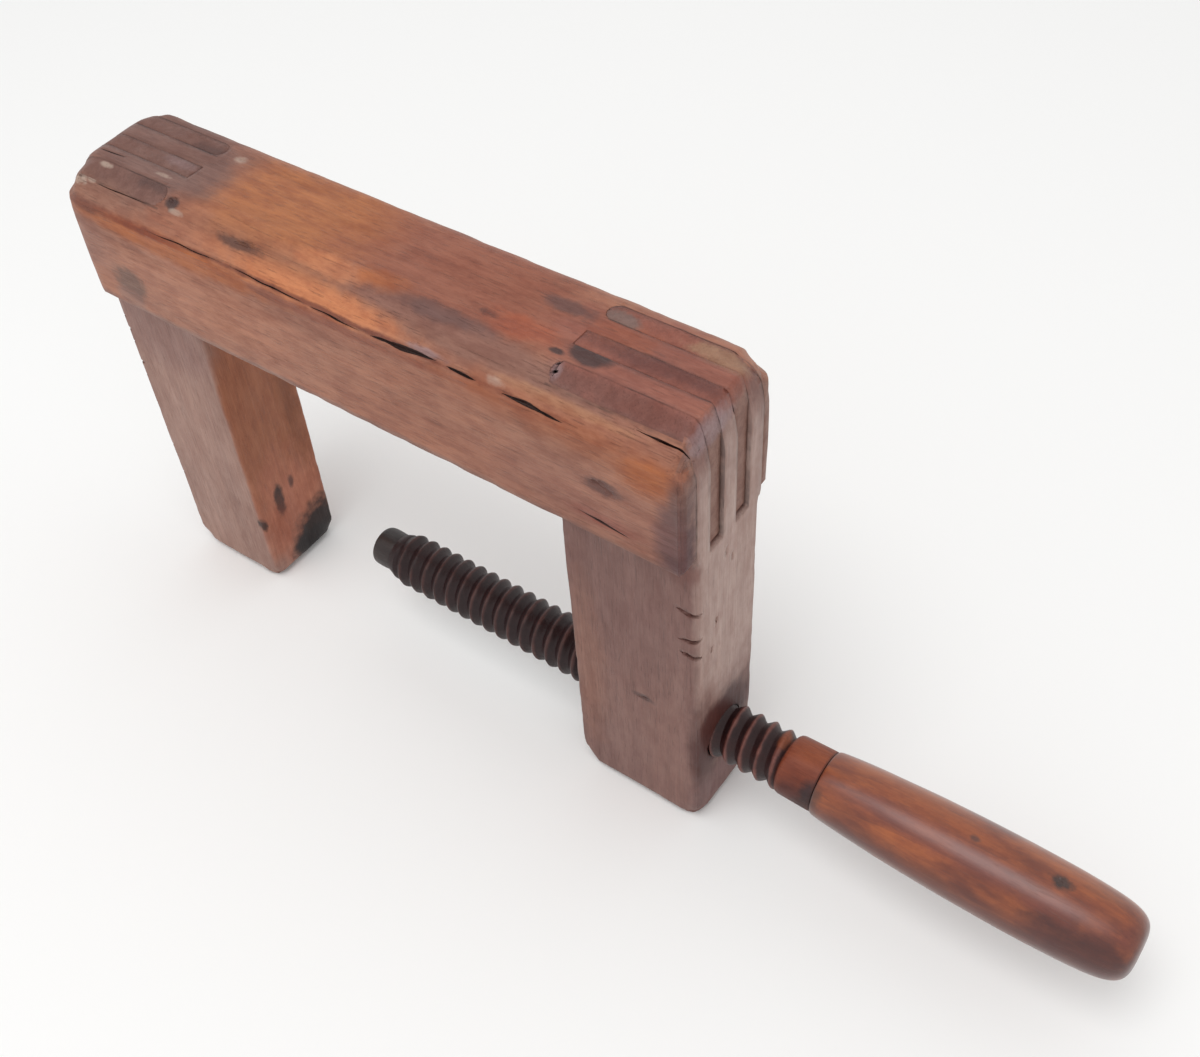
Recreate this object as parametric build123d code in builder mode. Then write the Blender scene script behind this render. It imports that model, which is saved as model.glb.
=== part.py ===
from build123d import *
from math import ceil, hypot
import os

# Wooden joiner's clamp with a wooden screw, standing on the ends of its two jaws.
# Sizes are in millimetres. +X runs from the plain jaw to the handle, +Z is up, and
# the origin is on the floor, under the middle of the clamp's overall length.

# Frame: a beam whose ends and the jaws' tops are sawn into combs of equal fingers
beam_length = 360
beam_height = 72
finger = 10
jaw_drop = 197
fixed_jaw_width = 66
threaded_jaw_width = 72
left_finger_recess = 0.7
right_finger_recess = 2
middle_finger_setback = 0.5
glue_line = 0.15

# Corners of the frame, worn round by use
beam_top_arris = 7
beam_under_arris = 1.5
beam_upright_arris = 3
beam_top_end = 7
beam_low_end = 7
jaw_arris = 2
foot_arris = 2.5
fixed_foot_outer = 13
fixed_foot_inner = 3
threaded_foot_outer = 5
threaded_foot_inner = 9

# Screw: where it stands, its coarse right-hand thread and its plain ends
screw_height = 53
nose_gap = 71
nose_length = 13
nose_radius = 11.2
nose_corner = 3
crest_radius = 15
thread_depth = 3.3
pitch = 8.3
crest_width = 1.4
groove_cut_turns = 6
lead_in = 10
lead_in_radius = 11.4
run_out = 0.5
neck_radius = 14.4
neck_width = 1.6
collar_gap = 36
collar_length = 19.5
collar_radius = 15.7
collar_front_radius = 15.4
tenon_radius = 9
tenon_length = 45

# Thread in the jaw: a V groove that clears the screw's crest, with blunt crests between
thread_clearance = 0.4
jaw_crest_width = 0.5
tool_margin = 0.1
tool_overrun = 0.5

# Handle: long straight tapers, as a turner leaves them, and a rounded butt
handle_length = 153.5
handle_mouth_radius = 16.4
handle_neck_radius = 17.4
handle_neck_length = 6
handle_waist_radius = 19.3
handle_waist_place = 34
handle_belly_radius = 20.8
handle_belly_place = 92
handle_butt_radius = 19.5
handle_butt_corner = 9
handle_tip_radius = 11
tenon_end_gap = 1
turned_gap = 0.1

# Places along the clamp, all from the sizes above
frame_width = 7 * finger
jaw_thickness = 5 * finger - 2 * glue_line
frame_top = jaw_drop + beam_height
overall_length = beam_length + collar_gap + collar_length + handle_length
frame_left = -overall_length / 2
frame_right = frame_left + beam_length
frame_middle = (frame_left + frame_right) / 2
fixed_face = frame_left + fixed_jaw_width
threaded_face = frame_right - threaded_jaw_width
nose_start = fixed_face + nose_gap
thread_start = nose_start + nose_length
collar_start = frame_right + collar_gap
handle_start = collar_start + collar_length
handle_end = handle_start + handle_length

# Rows of the combs across the clamp
jaw_finger_rows = (-2 * finger, 0, 2 * finger)
beam_finger_rows = (-finger, finger)
bored_rows = (-2 * finger, 2 * finger)

# Thread form: half the groove's width at the crest, and the flank's slope
root_radius = crest_radius - thread_depth
groove_half = (pitch - crest_width) / 2
flank_slope = groove_half / thread_depth
flank_opening = thread_clearance * hypot(1, flank_slope)
jaw_groove_half = (pitch - jaw_crest_width) / 2
bore_radius = crest_radius - (jaw_groove_half - crest_width / 2 - flank_opening) / flank_slope

# Helix: the groove ends at the top of the screw just before the collar, and starts
# a whole number of cuts earlier, before the thread's first turn
groove_end = collar_start - run_out
groove_cuts = ceil((groove_end - thread_start) / pitch / groove_cut_turns)
cut_length = groove_cut_turns * pitch
groove_start = groove_end - groove_cuts * cut_length
turns_before_jaw = int((threaded_face - groove_start) / pitch)
jaw_groove_start = groove_start + (turns_before_jaw - 0.5) * pitch
jaw_groove_length = threaded_jaw_width + 3 * pitch

screw_axis = Axis((0, 0, screw_height), (1, 0, 0))
screw_plane = Plane((0, 0, screw_height), x_dir=(1, 0, 0), z_dir=(0, -1, 0))


def jaw_groove_width(radius):
    """Half the width of the groove that the screw's crest runs in, at a radius."""
    return crest_width / 2 + flank_slope * (crest_radius - radius) + flank_opening


def jaw_blank(face_x, back_x, face_corner, back_corner):
    """A jaw with its comb, without the screw's hole.

    face_x is the clamping face, back_x the outer face, and the corners are the
    radii of the foot below each of them.
    """
    inward = 1 if face_x > back_x else -1
    width = abs(face_x - back_x)
    middle = (face_x + back_x) / 2
    shoulder = jaw_drop - glue_line
    with BuildPart() as jaw:
        with BuildSketch():
            with Locations((middle, 0)):
                RectangleRounded(width, jaw_thickness, jaw_arris)
        extrude(amount=shoulder)

        # Three fingers, the outer two with round ends that fit bored slots, and the
        # middle one square and a little short of the clamping face
        with BuildSketch(Plane.XY.offset(shoulder)):
            with Locations(*[(middle, row) for row in jaw_finger_rows]):
                Rectangle(width, finger - 2 * glue_line)
            round_radius = finger / 2 - glue_line
            end_x = face_x - inward * round_radius
            with Locations(*[(face_x - inward * round_radius / 2, row) for row in bored_rows]):
                Rectangle(round_radius, finger - 2 * glue_line, mode=Mode.SUBTRACT)
            with Locations(*[(end_x, row) for row in bored_rows]):
                Circle(round_radius)
            with Locations((face_x - inward * middle_finger_setback / 2, 0)):
                Rectangle(middle_finger_setback, finger, mode=Mode.SUBTRACT)
        extrude(amount=frame_top - shoulder)

        # Side view: the foot's two corners and the worn top corner of the end face
        with BuildSketch(Plane.XZ) as side:
            with Locations((middle, frame_top / 2)):
                Rectangle(width, frame_top)
            foot = side.vertices().group_by(Axis.Y)[0].sort_by(Axis.X)
            top = side.vertices().group_by(Axis.Y)[-1].sort_by(Axis.X)
            if inward > 0:
                fillet(foot[0], back_corner)
                fillet(side.vertices().group_by(Axis.Y)[0].sort_by(Axis.X)[-1], face_corner)
                fillet(top[0], beam_top_end)
            else:
                fillet(foot[-1], back_corner)
                fillet(side.vertices().group_by(Axis.Y)[0].sort_by(Axis.X)[0], face_corner)
                fillet(top[-1], beam_top_end)
        extrude(amount=jaw_thickness, both=True, mode=Mode.INTERSECT)

        # End view: the foot's long edges
        with BuildSketch(Plane.YZ.offset(middle)) as end:
            with Locations((0, frame_top / 2)):
                Rectangle(jaw_thickness, frame_top)
            fillet(end.vertices().group_by(Axis.Y)[0], foot_arris)
        extrude(amount=width, both=True, mode=Mode.INTERSECT)
    return jaw.part


# Beam: a worn block, and three slots at each end for the jaws' fingers
with BuildPart() as beam:
    with BuildSketch(Plane.XY.offset(jaw_drop)):
        with Locations((frame_middle, 0)):
            RectangleRounded(beam_length, frame_width, beam_upright_arris)
    extrude(amount=beam_height)
    with BuildSketch(Plane.XZ) as beam_side:
        with Locations((frame_middle, jaw_drop + beam_height / 2)):
            Rectangle(beam_length, beam_height)
        fillet(beam_side.vertices().group_by(Axis.Y)[0], beam_low_end)
        fillet(beam_side.vertices().group_by(Axis.Y)[-1], beam_top_end)
    extrude(amount=frame_width, both=True, mode=Mode.INTERSECT)
    with BuildSketch(Plane.YZ.offset(frame_middle)) as beam_end:
        with Locations((0, jaw_drop + beam_height / 2)):
            Rectangle(frame_width, beam_height)
        fillet(beam_end.vertices().group_by(Axis.Y)[0], beam_under_arris)
        fillet(beam_end.vertices().group_by(Axis.Y)[-1], beam_top_arris)
    extrude(amount=beam_length, both=True, mode=Mode.INTERSECT)

    # Slots from each end to the line of the jaw's face, the outer two bored round
    left_end = (frame_left, fixed_face, 1, left_finger_recess)
    right_end = (frame_right, threaded_face, -1, right_finger_recess)
    for outer_x, face_x, inward, recess in (left_end, right_end):
        slot_end = face_x + inward * glue_line
        straight_end = slot_end - inward * finger / 2
        with BuildSketch(Plane.XY.offset(jaw_drop)):
            with Locations(((outer_x + slot_end) / 2, 0)):
                Rectangle(abs(slot_end - outer_x), finger)
            with Locations(*[((outer_x + straight_end) / 2, row) for row in bored_rows]):
                Rectangle(abs(straight_end - outer_x), finger)
            with Locations(*[(straight_end, row) for row in bored_rows]):
                Circle(finger / 2)
        extrude(amount=beam_height, mode=Mode.SUBTRACT)

        # The beam's own fingers stop a little short of the jaw's outer face
        with BuildSketch(Plane.XY.offset(jaw_drop)):
            with Locations(*[(outer_x + inward * recess / 2, row) for row in beam_finger_rows]):
                Rectangle(recess, finger)
        extrude(amount=beam_height, mode=Mode.SUBTRACT)

# Fixed jaw
with BuildPart() as fixed_jaw:
    add(jaw_blank(fixed_face, frame_left, fixed_foot_inner, fixed_foot_outer))

# Threaded jaw: the groove that the screw's crest runs in, then the bore, both right through
with BuildPart() as threaded_jaw:
    add(jaw_blank(threaded_face, frame_right, threaded_foot_inner, threaded_foot_outer))
    groove_knee = bore_radius - tool_margin
    groove_foot = groove_knee - tool_overrun
    knee_half = jaw_groove_width(groove_knee)
    groove_root = groove_knee + knee_half / flank_slope
    with BuildLine() as jaw_path:
        Helix(
            pitch,
            jaw_groove_length,
            crest_radius,
            center=(jaw_groove_start, 0, screw_height),
            direction=(1, 0, 0),
        )
    with BuildSketch(screw_plane):
        with BuildLine():
            Polyline(
                (jaw_groove_start - knee_half, groove_foot),
                (jaw_groove_start - knee_half, groove_knee),
                (jaw_groove_start, groove_root),
                (jaw_groove_start + knee_half, groove_knee),
                (jaw_groove_start + knee_half, groove_foot),
                close=True,
            )
        make_face()
    sweep(path=jaw_path.line, is_frenet=True, mode=Mode.SUBTRACT)
    with BuildSketch(Plane.YZ.offset(threaded_face - pitch)):
        with Locations((0, screw_height)):
            Circle(bore_radius)
    extrude(amount=threaded_jaw_width + 2 * pitch, mode=Mode.SUBTRACT)

# Screw: a plain rod with a V groove in a row of cuts, its lead-in, then collar and tenon
with BuildPart() as screw:
    with BuildSketch(Plane.YZ.offset(thread_start)):
        with Locations((0, screw_height)):
            Circle(crest_radius)
    extrude(amount=collar_start - thread_start)
    groove_mouth = groove_half + flank_slope * tool_overrun
    for cut in range(groove_cuts):
        cut_start = groove_start + cut * cut_length
        with BuildLine() as screw_path:
            Helix(
                pitch,
                cut_length,
                root_radius,
                center=(cut_start, 0, screw_height),
                direction=(1, 0, 0),
            )
        with BuildSketch(screw_plane):
            with BuildLine():
                Polyline(
                    (cut_start, root_radius),
                    (cut_start - groove_mouth, crest_radius + tool_overrun),
                    (cut_start + groove_mouth, crest_radius + tool_overrun),
                    close=True,
                )
            make_face()
        sweep(path=screw_path.line, is_frenet=True, mode=Mode.SUBTRACT)

    # The first turns fade in on a cone
    with BuildSketch(screw_plane):
        with BuildLine():
            Polyline(
                (thread_start, 0),
                (thread_start, lead_in_radius),
                (thread_start + lead_in, crest_radius + tool_margin),
                (collar_start - neck_width, crest_radius + tool_margin),
                (collar_start - neck_width / 2, neck_radius),
                (collar_start, neck_radius),
                (collar_start, 0),
                close=True,
            )
        make_face()
    revolve(axis=screw_axis, mode=Mode.INTERSECT)
    with BuildSketch(screw_plane):
        with BuildLine():
            Polyline(
                (collar_start, 0),
                (collar_start, neck_radius),
                (collar_start + neck_width / 2, collar_front_radius),
                (handle_start - turned_gap, collar_radius),
                (handle_start - turned_gap, tenon_radius),
                (handle_start + tenon_length, tenon_radius),
                (handle_start + tenon_length, 0),
                close=True,
            )
        make_face()
    revolve(axis=screw_axis)

# Nose: the plain turned end that bears on the work
with BuildPart() as screw_nose:
    with BuildSketch(Plane.YZ.offset(nose_start)):
        with Locations((0, screw_height)):
            Circle(nose_radius)
    extrude(amount=nose_length - turned_gap)
    chamfer(screw_nose.faces().sort_by(Axis.X)[0].edges(), nose_corner)

# Handle: a turned grip with a blind socket for the screw's tenon
with BuildPart() as handle:
    with BuildSketch(screw_plane):
        with BuildLine():
            grip = Polyline(
                (handle_end, 0),
                (handle_start, 0),
                (handle_start, handle_mouth_radius),
                (handle_start + handle_neck_length, handle_neck_radius),
                (handle_start + handle_waist_place, handle_waist_radius),
                (handle_start + handle_belly_place, handle_belly_radius),
                (handle_end - handle_butt_corner, handle_butt_radius),
            )
            butt = TangentArc(grip @ 1, (handle_end, handle_tip_radius), tangent=grip % 1)
            Line(butt @ 1, (handle_end, 0))
        make_face()
    revolve(axis=screw_axis)
    with BuildSketch(Plane.YZ.offset(handle_start)):
        with Locations((0, screw_height)):
            Circle(tenon_radius + glue_line)
    extrude(amount=tenon_length + tenon_end_gap, mode=Mode.SUBTRACT)

os.makedirs("parts", exist_ok=True)

beam.part.label = "beam"
export_step(beam.part, "parts/beam.step")
fixed_jaw.part.label = "fixed_jaw"
export_step(fixed_jaw.part, "parts/fixed_jaw.step")
threaded_jaw.part.label = "threaded_jaw"
export_step(threaded_jaw.part, "parts/threaded_jaw.step")
screw.part.label = "screw"
export_step(screw.part, "parts/screw.step")
screw_nose.part.label = "screw_nose"
export_step(screw_nose.part, "parts/screw_nose.step")
handle.part.label = "handle"
export_step(handle.part, "parts/handle.step")
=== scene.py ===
import logging
import math
from dataclasses import dataclass
from enum import Enum
from typing import Callable, Sequence

import bpy
from mathutils import Matrix, Quaternion, Vector, noise


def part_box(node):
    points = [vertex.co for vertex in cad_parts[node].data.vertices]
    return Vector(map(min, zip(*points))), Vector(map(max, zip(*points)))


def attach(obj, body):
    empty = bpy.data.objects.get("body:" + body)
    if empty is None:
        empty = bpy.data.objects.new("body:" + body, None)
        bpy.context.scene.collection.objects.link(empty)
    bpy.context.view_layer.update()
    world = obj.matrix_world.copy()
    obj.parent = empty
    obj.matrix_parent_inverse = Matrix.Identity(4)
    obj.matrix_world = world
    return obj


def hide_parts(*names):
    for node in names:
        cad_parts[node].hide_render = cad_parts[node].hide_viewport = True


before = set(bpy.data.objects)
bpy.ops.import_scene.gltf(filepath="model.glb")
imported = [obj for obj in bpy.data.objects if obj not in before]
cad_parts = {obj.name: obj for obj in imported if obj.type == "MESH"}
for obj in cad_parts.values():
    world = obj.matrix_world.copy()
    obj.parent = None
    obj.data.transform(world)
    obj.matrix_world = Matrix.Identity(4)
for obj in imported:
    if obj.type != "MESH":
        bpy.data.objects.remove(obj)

# Looks of an old wooden joiner's clamp: a beam, two comb-jointed jaws, and a wooden screw
# with a turned handle. Sizes and places are in millimetres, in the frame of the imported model,
# and MM turns them into Blender's metres.

LOG = logging.getLogger("clamp")
MM = 0.001

Pair = tuple[float, float]
Point = tuple[float, float, float]
Paint = tuple[float, float, float, float]

BEAM_LOW, BEAM_HIGH = (Vector(corner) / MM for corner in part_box("beam"))
FIXED_LOW, FIXED_HIGH = (Vector(corner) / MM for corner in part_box("fixed_jaw"))
THREADED_LOW, THREADED_HIGH = (Vector(corner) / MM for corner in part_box("threaded_jaw"))
NOSE_LOW = Vector(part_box("screw_nose")[0]) / MM
SCREW_LOW = Vector(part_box("screw")[0]) / MM
HANDLE_LOW, HANDLE_HIGH = (Vector(corner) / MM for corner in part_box("handle"))
AXIS_HEIGHT = (HANDLE_LOW.z + HANDLE_HIGH.z) / 2


def paint(red: int, green: int, blue: int) -> Paint:
    """Turn a colour as seen on a screen into the renderer's own colour.

    Args:
        red: Red from 0 to 255.
        green: Green from 0 to 255.
        blue: Blue from 0 to 255.

    Returns:
        Linear red, green, blue and an alpha of 1.
    """
    linear = []
    for value in (red, green, blue):
        share = value / 255
        linear.append(share / 12.92 if share <= 0.04045 else ((share + 0.055) / 1.055) ** 2.4)
    return (linear[0], linear[1], linear[2], 1.0)


class Fibre(Enum):
    """The axis that the wood's fibres run along."""

    LENGTHWISE = "X"
    UPRIGHT = "Z"


# Bench work: the operations that every piece shares


class Bench:
    """Modelling operations that more than one piece needs."""

    CAD_DOUBLES = 0.002
    MADE_DOUBLES = 0.005
    LEVEL = 0.99999
    SAME_PLANE = 0.5

    @staticmethod
    def pick(*objects: bpy.types.Object) -> None:
        """Select only these objects, and make the first one active."""
        bpy.ops.object.select_all(action="DESELECT")
        for item in objects:
            item.select_set(True)
        bpy.context.view_layer.objects.active = objects[0]

    @staticmethod
    def start(name: str, outline: Sequence[Pair], height: float) -> bpy.types.Object:
        """Start a piece from an outline beside the X axis, and select it.

        Args:
            name: Name of the piece.
            outline: Places along X and radii.
            height: Height of the line that the radii count from.

        Returns:
            The piece, with the outline as its only edges.
        """
        points = [(x * MM, 0.0, (height + radius) * MM) for x, radius in outline]
        mesh = bpy.data.meshes.new(name)
        mesh.from_pydata(points, [(i, i + 1) for i in range(len(points) - 1)], [])
        piece = bpy.data.objects.new(name, mesh)
        bpy.context.scene.collection.objects.link(piece)
        Bench.pick(piece)
        return piece

    @staticmethod
    def copy_of(node: str, name: str) -> bpy.types.Object:
        """Copy a node of the frame into a new piece with its triangles merged.

        Args:
            node: Name of the node.
            name: Name of the new piece.

        Returns:
            The new piece, with its flat faces made whole again.
        """
        piece = bpy.data.objects.new(name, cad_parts[node].data.copy())
        piece.data.materials.clear()
        bpy.context.scene.collection.objects.link(piece)
        Bench.pick(piece)
        bpy.ops.object.mode_set(mode="EDIT")
        bpy.ops.mesh.select_all(action="SELECT")
        bpy.ops.mesh.remove_doubles(threshold=Bench.CAD_DOUBLES * MM)
        bpy.ops.mesh.select_all(action="DESELECT")
        bpy.ops.object.mode_set(mode="OBJECT")
        for face in piece.data.polygons:
            face.select = max(abs(part) for part in face.normal) > Bench.LEVEL
        bpy.ops.object.mode_set(mode="EDIT")
        bpy.ops.mesh.dissolve_limited(angle_limit=math.radians(Bench.SAME_PLANE))
        bpy.ops.object.mode_set(mode="OBJECT")
        return piece

    @staticmethod
    def slice_up(piece: bpy.types.Object, low: Vector, high: Vector, step: float) -> None:
        """Bisect a piece along all three axes, so that its faces have points to move.

        Args:
            piece: The piece to divide.
            low: Lowest corner of the part to divide.
            high: Highest corner of the part to divide.
            step: Distance between two cuts.
        """
        Bench.pick(piece)
        bpy.ops.object.mode_set(mode="EDIT")
        for axis in range(3):
            normal = [0.0, 0.0, 0.0]
            normal[axis] = 1.0
            cuts = max(1, round((high[axis] - low[axis]) / step))
            for cut in range(1, cuts):
                spot = [0.0, 0.0, 0.0]
                spot[axis] = (low[axis] + (high[axis] - low[axis]) * cut / cuts) * MM
                bpy.ops.mesh.select_all(action="SELECT")
                bpy.ops.mesh.bisect(plane_co=spot, plane_no=normal)
        bpy.ops.mesh.select_all(action="SELECT")
        bpy.ops.mesh.quads_convert_to_tris(quad_method="SHORTEST_DIAGONAL")
        bpy.ops.object.mode_set(mode="OBJECT")

    @staticmethod
    def modify(piece: bpy.types.Object, kind: str, **settings: object) -> None:
        """Add one modifier to a piece and apply it.

        Args:
            piece: The piece to work on.
            kind: Blender's name of the modifier type.
            **settings: The modifier's own settings.
        """
        Bench.pick(piece)
        modifier = piece.modifiers.new(kind.title(), kind)
        for key, value in settings.items():
            setattr(modifier, key, value)
        bpy.ops.object.modifier_apply(modifier=modifier.name)

    @staticmethod
    def combine(
        piece: bpy.types.Object,
        others: Sequence[bpy.types.Object],
        operation: str,
        crossing: bool = False,
    ) -> None:
        """Add closed shapes to a piece or cut them out of it, and throw them away.

        Args:
            piece: The piece to work on.
            others: Closed shapes.
            operation: Either UNION or DIFFERENCE.
            crossing: Whether the shapes may overlap each other.
        """
        if not others:
            return
        Bench.pick(*others)
        if len(others) > 1:
            bpy.ops.object.join()
        tool = others[0]
        Bench.modify(
            piece,
            "BOOLEAN",
            operation=operation,
            solver="EXACT",
            use_self=crossing,
            material_mode="TRANSFER",
            object=tool,
        )
        bpy.data.objects.remove(tool)

    @staticmethod
    def close_up(piece: bpy.types.Object) -> None:
        """Merge doubles, and turn every face outwards.

        Args:
            piece: The closed piece to clean up.
        """
        Bench.pick(piece)
        bpy.ops.object.mode_set(mode="EDIT")
        bpy.ops.mesh.select_all(action="SELECT")
        bpy.ops.mesh.remove_doubles(threshold=Bench.MADE_DOUBLES * MM)
        bpy.ops.mesh.select_all(action="SELECT")
        bpy.ops.mesh.normals_make_consistent(inside=False)
        bpy.ops.object.mode_set(mode="OBJECT")

    @staticmethod
    def lathe(name: str, outline: Sequence[Pair], steps: int) -> bpy.types.Object:
        """Spin an outline round the screw's axis into a closed piece.

        Args:
            name: Name of the piece.
            outline: Places along X and radii; the first and last lie on the axis.
            steps: Number of faces round the piece.

        Returns:
            The turned piece.
        """
        piece = Bench.start(name, outline, AXIS_HEIGHT)
        bpy.ops.object.mode_set(mode="EDIT")
        bpy.ops.mesh.select_all(action="SELECT")
        centre = (0.0, 0.0, AXIS_HEIGHT * MM)
        bpy.ops.mesh.spin(steps=steps, angle=math.tau, center=centre, axis=(1.0, 0.0, 0.0))
        bpy.ops.object.mode_set(mode="OBJECT")
        Bench.close_up(piece)
        return piece

    @staticmethod
    def move_points(piece: bpy.types.Object, shift: Callable[[Vector, Vector], Vector]) -> None:
        """Move every point of a piece.

        Args:
            piece: The piece to work on.
            shift: Gives a point's new place from its place and its normal, in millimetres.
        """
        moved = [shift(vertex.co / MM, vertex.normal.copy()) for vertex in piece.data.vertices]
        for vertex, place in zip(piece.data.vertices, moved):
            vertex.co = place * MM
        piece.data.update()

    @staticmethod
    def mark(piece: bpy.types.Object, name: str, value: Callable[[Vector], float]) -> None:
        """Store a value on every point of a piece, for its finish to read.

        Args:
            piece: The piece to mark.
            name: Name of the value.
            value: Gives the value from a point's place in millimetres.
        """
        layer = piece.data.attributes.new(name, "FLOAT", "POINT")
        layer.data.foreach_set("value", [value(vertex.co / MM) for vertex in piece.data.vertices])

    @staticmethod
    def finish(piece: bpy.types.Object, node: str, body: str, slot: str, angle: float) -> bpy.types.Object:
        """Shade a piece, and let it stand for its node on its body.

        Args:
            piece: The piece to finish.
            node: The node that it stands for.
            body: The body that it rides on.
            slot: The record's material slot; not used.
            angle: Edges sharper than this, in degrees, stay sharp.

        Returns:
            The finished piece.
        """
        Bench.pick(piece)
        bpy.ops.object.shade_smooth_by_angle(angle=math.radians(angle))
        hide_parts(node)
        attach(piece, body)
        return piece


# Marks of use: uneven faces, worn edges, and the tools that cut cracks, nicks and chips


@dataclass(frozen=True)
class Unevenness:
    """A soft random unevenness of a surface.

    Args:
        depth: Greatest depth.
        length: Typical distance over which it changes.
        seed: Picks another pattern.
        spared: How much of the pattern leaves no mark, where it makes dents.
    """

    depth: float
    length: float
    seed: float
    spared: float = 0.0

    def pattern(self, place: Vector) -> float:
        """Give the pattern at a place, between about -1 and 1."""
        return noise.noise(place / self.length + Vector((self.seed, self.seed * 1.7, -self.seed)))

    def sunk(self, place: Vector) -> float:
        """Tell how deep the whole surface is worn at a place."""
        return self.depth * (0.5 + 0.5 * self.pattern(place))

    def dented(self, place: Vector) -> float:
        """Tell how deep a dent is at a place, with 0 between the dents."""
        return self.depth * max(0.0, self.pattern(place) - self.spared)


SWAY_LENGTH = 26.0
OVERHANG = 1.02
EASED_GAP = 0.3


@dataclass(frozen=True)
class WornEdge:
    """A straight edge of the frame that use has rubbed round.

    Args:
        across: The two axes across the edge, such as "YZ".
        corner: Where the sharp edge was, on those two axes.
        reach: How far the rounding goes inwards from the corner on each axis, with its sign.
        power: Fullness of the curve: 2 is round and 1 is a flat bevel.
        stretch: From where to where the edge runs on its own axis.
        fade: Length over which the rounding fades out at the stretch's ends.
        sway: How much the reach changes along the edge, as a share of it.
    """

    across: str
    corner: Pair
    reach: Pair
    power: float = 2.0
    stretch: Pair = (-1000.0, 1000.0)
    fade: float = 6.0
    sway: float = 0.15

    def rub(self, place: Vector) -> Vector:
        """Move a point that lies between the corner and the rounding onto the rounding.

        Args:
            place: Where the point is.

        Returns:
            Where the point is after the wear.
        """
        axes = ["XYZ".index(letter) for letter in self.across]
        along = place[3 - sum(axes)]
        within = min(along - self.stretch[0], self.stretch[1] - along) / self.fade
        if within <= 0:
            return place
        swell = 1 + self.sway * noise.noise(Vector((along / SWAY_LENGTH, *self.corner)))
        reach = [part * swell for part in self.reach]
        gaps = [1 - (place[axis] - self.corner[i]) / reach[i] for i, axis in enumerate(axes)]
        if min(gaps) <= 0 or max(gaps) > OVERHANG:
            return place
        total = sum(gap**self.power for gap in gaps)
        if total <= 1:
            return place
        share = 1 + (total ** (-1 / self.power) - 1) * min(within, 1.0)
        moved = place.copy()
        for i, axis in enumerate(axes):
            moved[axis] = self.corner[i] + reach[i] * (1 - gaps[i] * share)
        return moved


@dataclass(frozen=True)
class WornCorner:
    """A corner of the frame that handling has rubbed round.

    Args:
        corner: Where the sharp corner was.
        reach: How far the rounding goes inwards from it on each axis, with its sign.
    """

    corner: Point
    reach: Point

    def rub(self, place: Vector) -> Vector:
        """Move a point that lies between the corner and the rounding onto the rounding.

        Args:
            place: Where the point is.

        Returns:
            Where the point is after the wear.
        """
        sides = tuple(zip(self.corner, self.reach))
        gaps = [1 - (part - sharp) / reach for part, (sharp, reach) in zip(place, sides)]
        if min(gaps) <= 0:
            return place
        length = math.hypot(*gaps)
        if length <= 1:
            return place
        ease = min(min(gaps) / EASED_GAP, 1.0)
        share = 1 + (1 / length - 1) * ease * ease * (3 - 2 * ease)
        return Vector(sharp + reach * (1 - gap * share) for gap, (sharp, reach) in zip(gaps, sides))


@dataclass(frozen=True)
class FrameWear:
    """Wear of the whole frame.

    It depends on the place alone, so both sides of a joint wear alike and the joint stays closed.

    Args:
        edges: The rounded edges.
        corners: The rounded corners.
        skin: Depth over which wear of a face dies away.
        slow: The slow unevenness of the faces.
        quick: The quick unevenness of the faces.
        bruises: The dents at the edges.
    """

    edges: tuple[WornEdge, ...]
    corners: tuple[WornCorner, ...]
    skin: float = 6.0
    slow: Unevenness = Unevenness(0.45, 48.0, 1.3)
    quick: Unevenness = Unevenness(0.14, 12.0, 5.1)
    bruises: Unevenness = Unevenness(0.6, 9.0, 8.7, 0.05)

    JOINT_SLACK = 0.05

    def box_round(self, place: Vector) -> tuple[Vector, Vector]:
        """Find the box of the beam or of the jaw that a place belongs to.

        Args:
            place: Where a point is.

        Returns:
            The box's lowest and highest corner.
        """
        if place.z > BEAM_LOW.z - self.JOINT_SLACK:
            return BEAM_LOW, BEAM_HIGH
        if place.x < (FIXED_HIGH.x + THREADED_LOW.x) / 2:
            return FIXED_LOW, FIXED_HIGH
        return THREADED_LOW, THREADED_HIGH

    def edge_nearness(self, place: Vector) -> float:
        """Tell how near a place is to an outer edge.

        Args:
            place: Where a point is.

        Returns:
            A value from 0, well inside a face, to 1 on an edge.
        """
        low, high = self.box_round(place)
        gaps = sorted(min(abs(place[axis] - low[axis]), abs(high[axis] - place[axis])) for axis in range(3))
        return math.exp(-(gaps[0] + gaps[1]) / self.skin)

    def worn(self, place: Vector) -> Vector:
        """Wear one point, which only takes wood away.

        Args:
            place: Where the point is.

        Returns:
            Where the point is after the wear.
        """
        low, high = self.box_round(place)
        uneven = self.slow.sunk(place) + self.quick.sunk(place)
        uneven += self.edge_nearness(place) * self.bruises.dented(place)
        moved = place.copy()
        for spot in (*self.edges, *self.corners):
            moved = spot.rub(moved)
        for axis in range(3):
            for side, gap in ((1, place[axis] - low[axis]), (-1, high[axis] - place[axis])):
                if gap < self.skin:
                    moved[axis] += side * uneven * (1 - max(gap, 0.0) / self.skin)
        return moved


def cutting_tool(name: str, kind: Callable[..., object], **settings: float) -> bpy.types.Object:
    """Start a cutting tool from a primitive, with nothing else selected.

    Args:
        name: The tool's name.
        kind: The operator that adds the primitive.
        **settings: The operator's own settings.

    Returns:
        The new tool.
    """
    bpy.ops.object.select_all(action="DESELECT")
    kind(**settings)
    tool = bpy.context.object
    tool.name = name
    return tool


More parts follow.
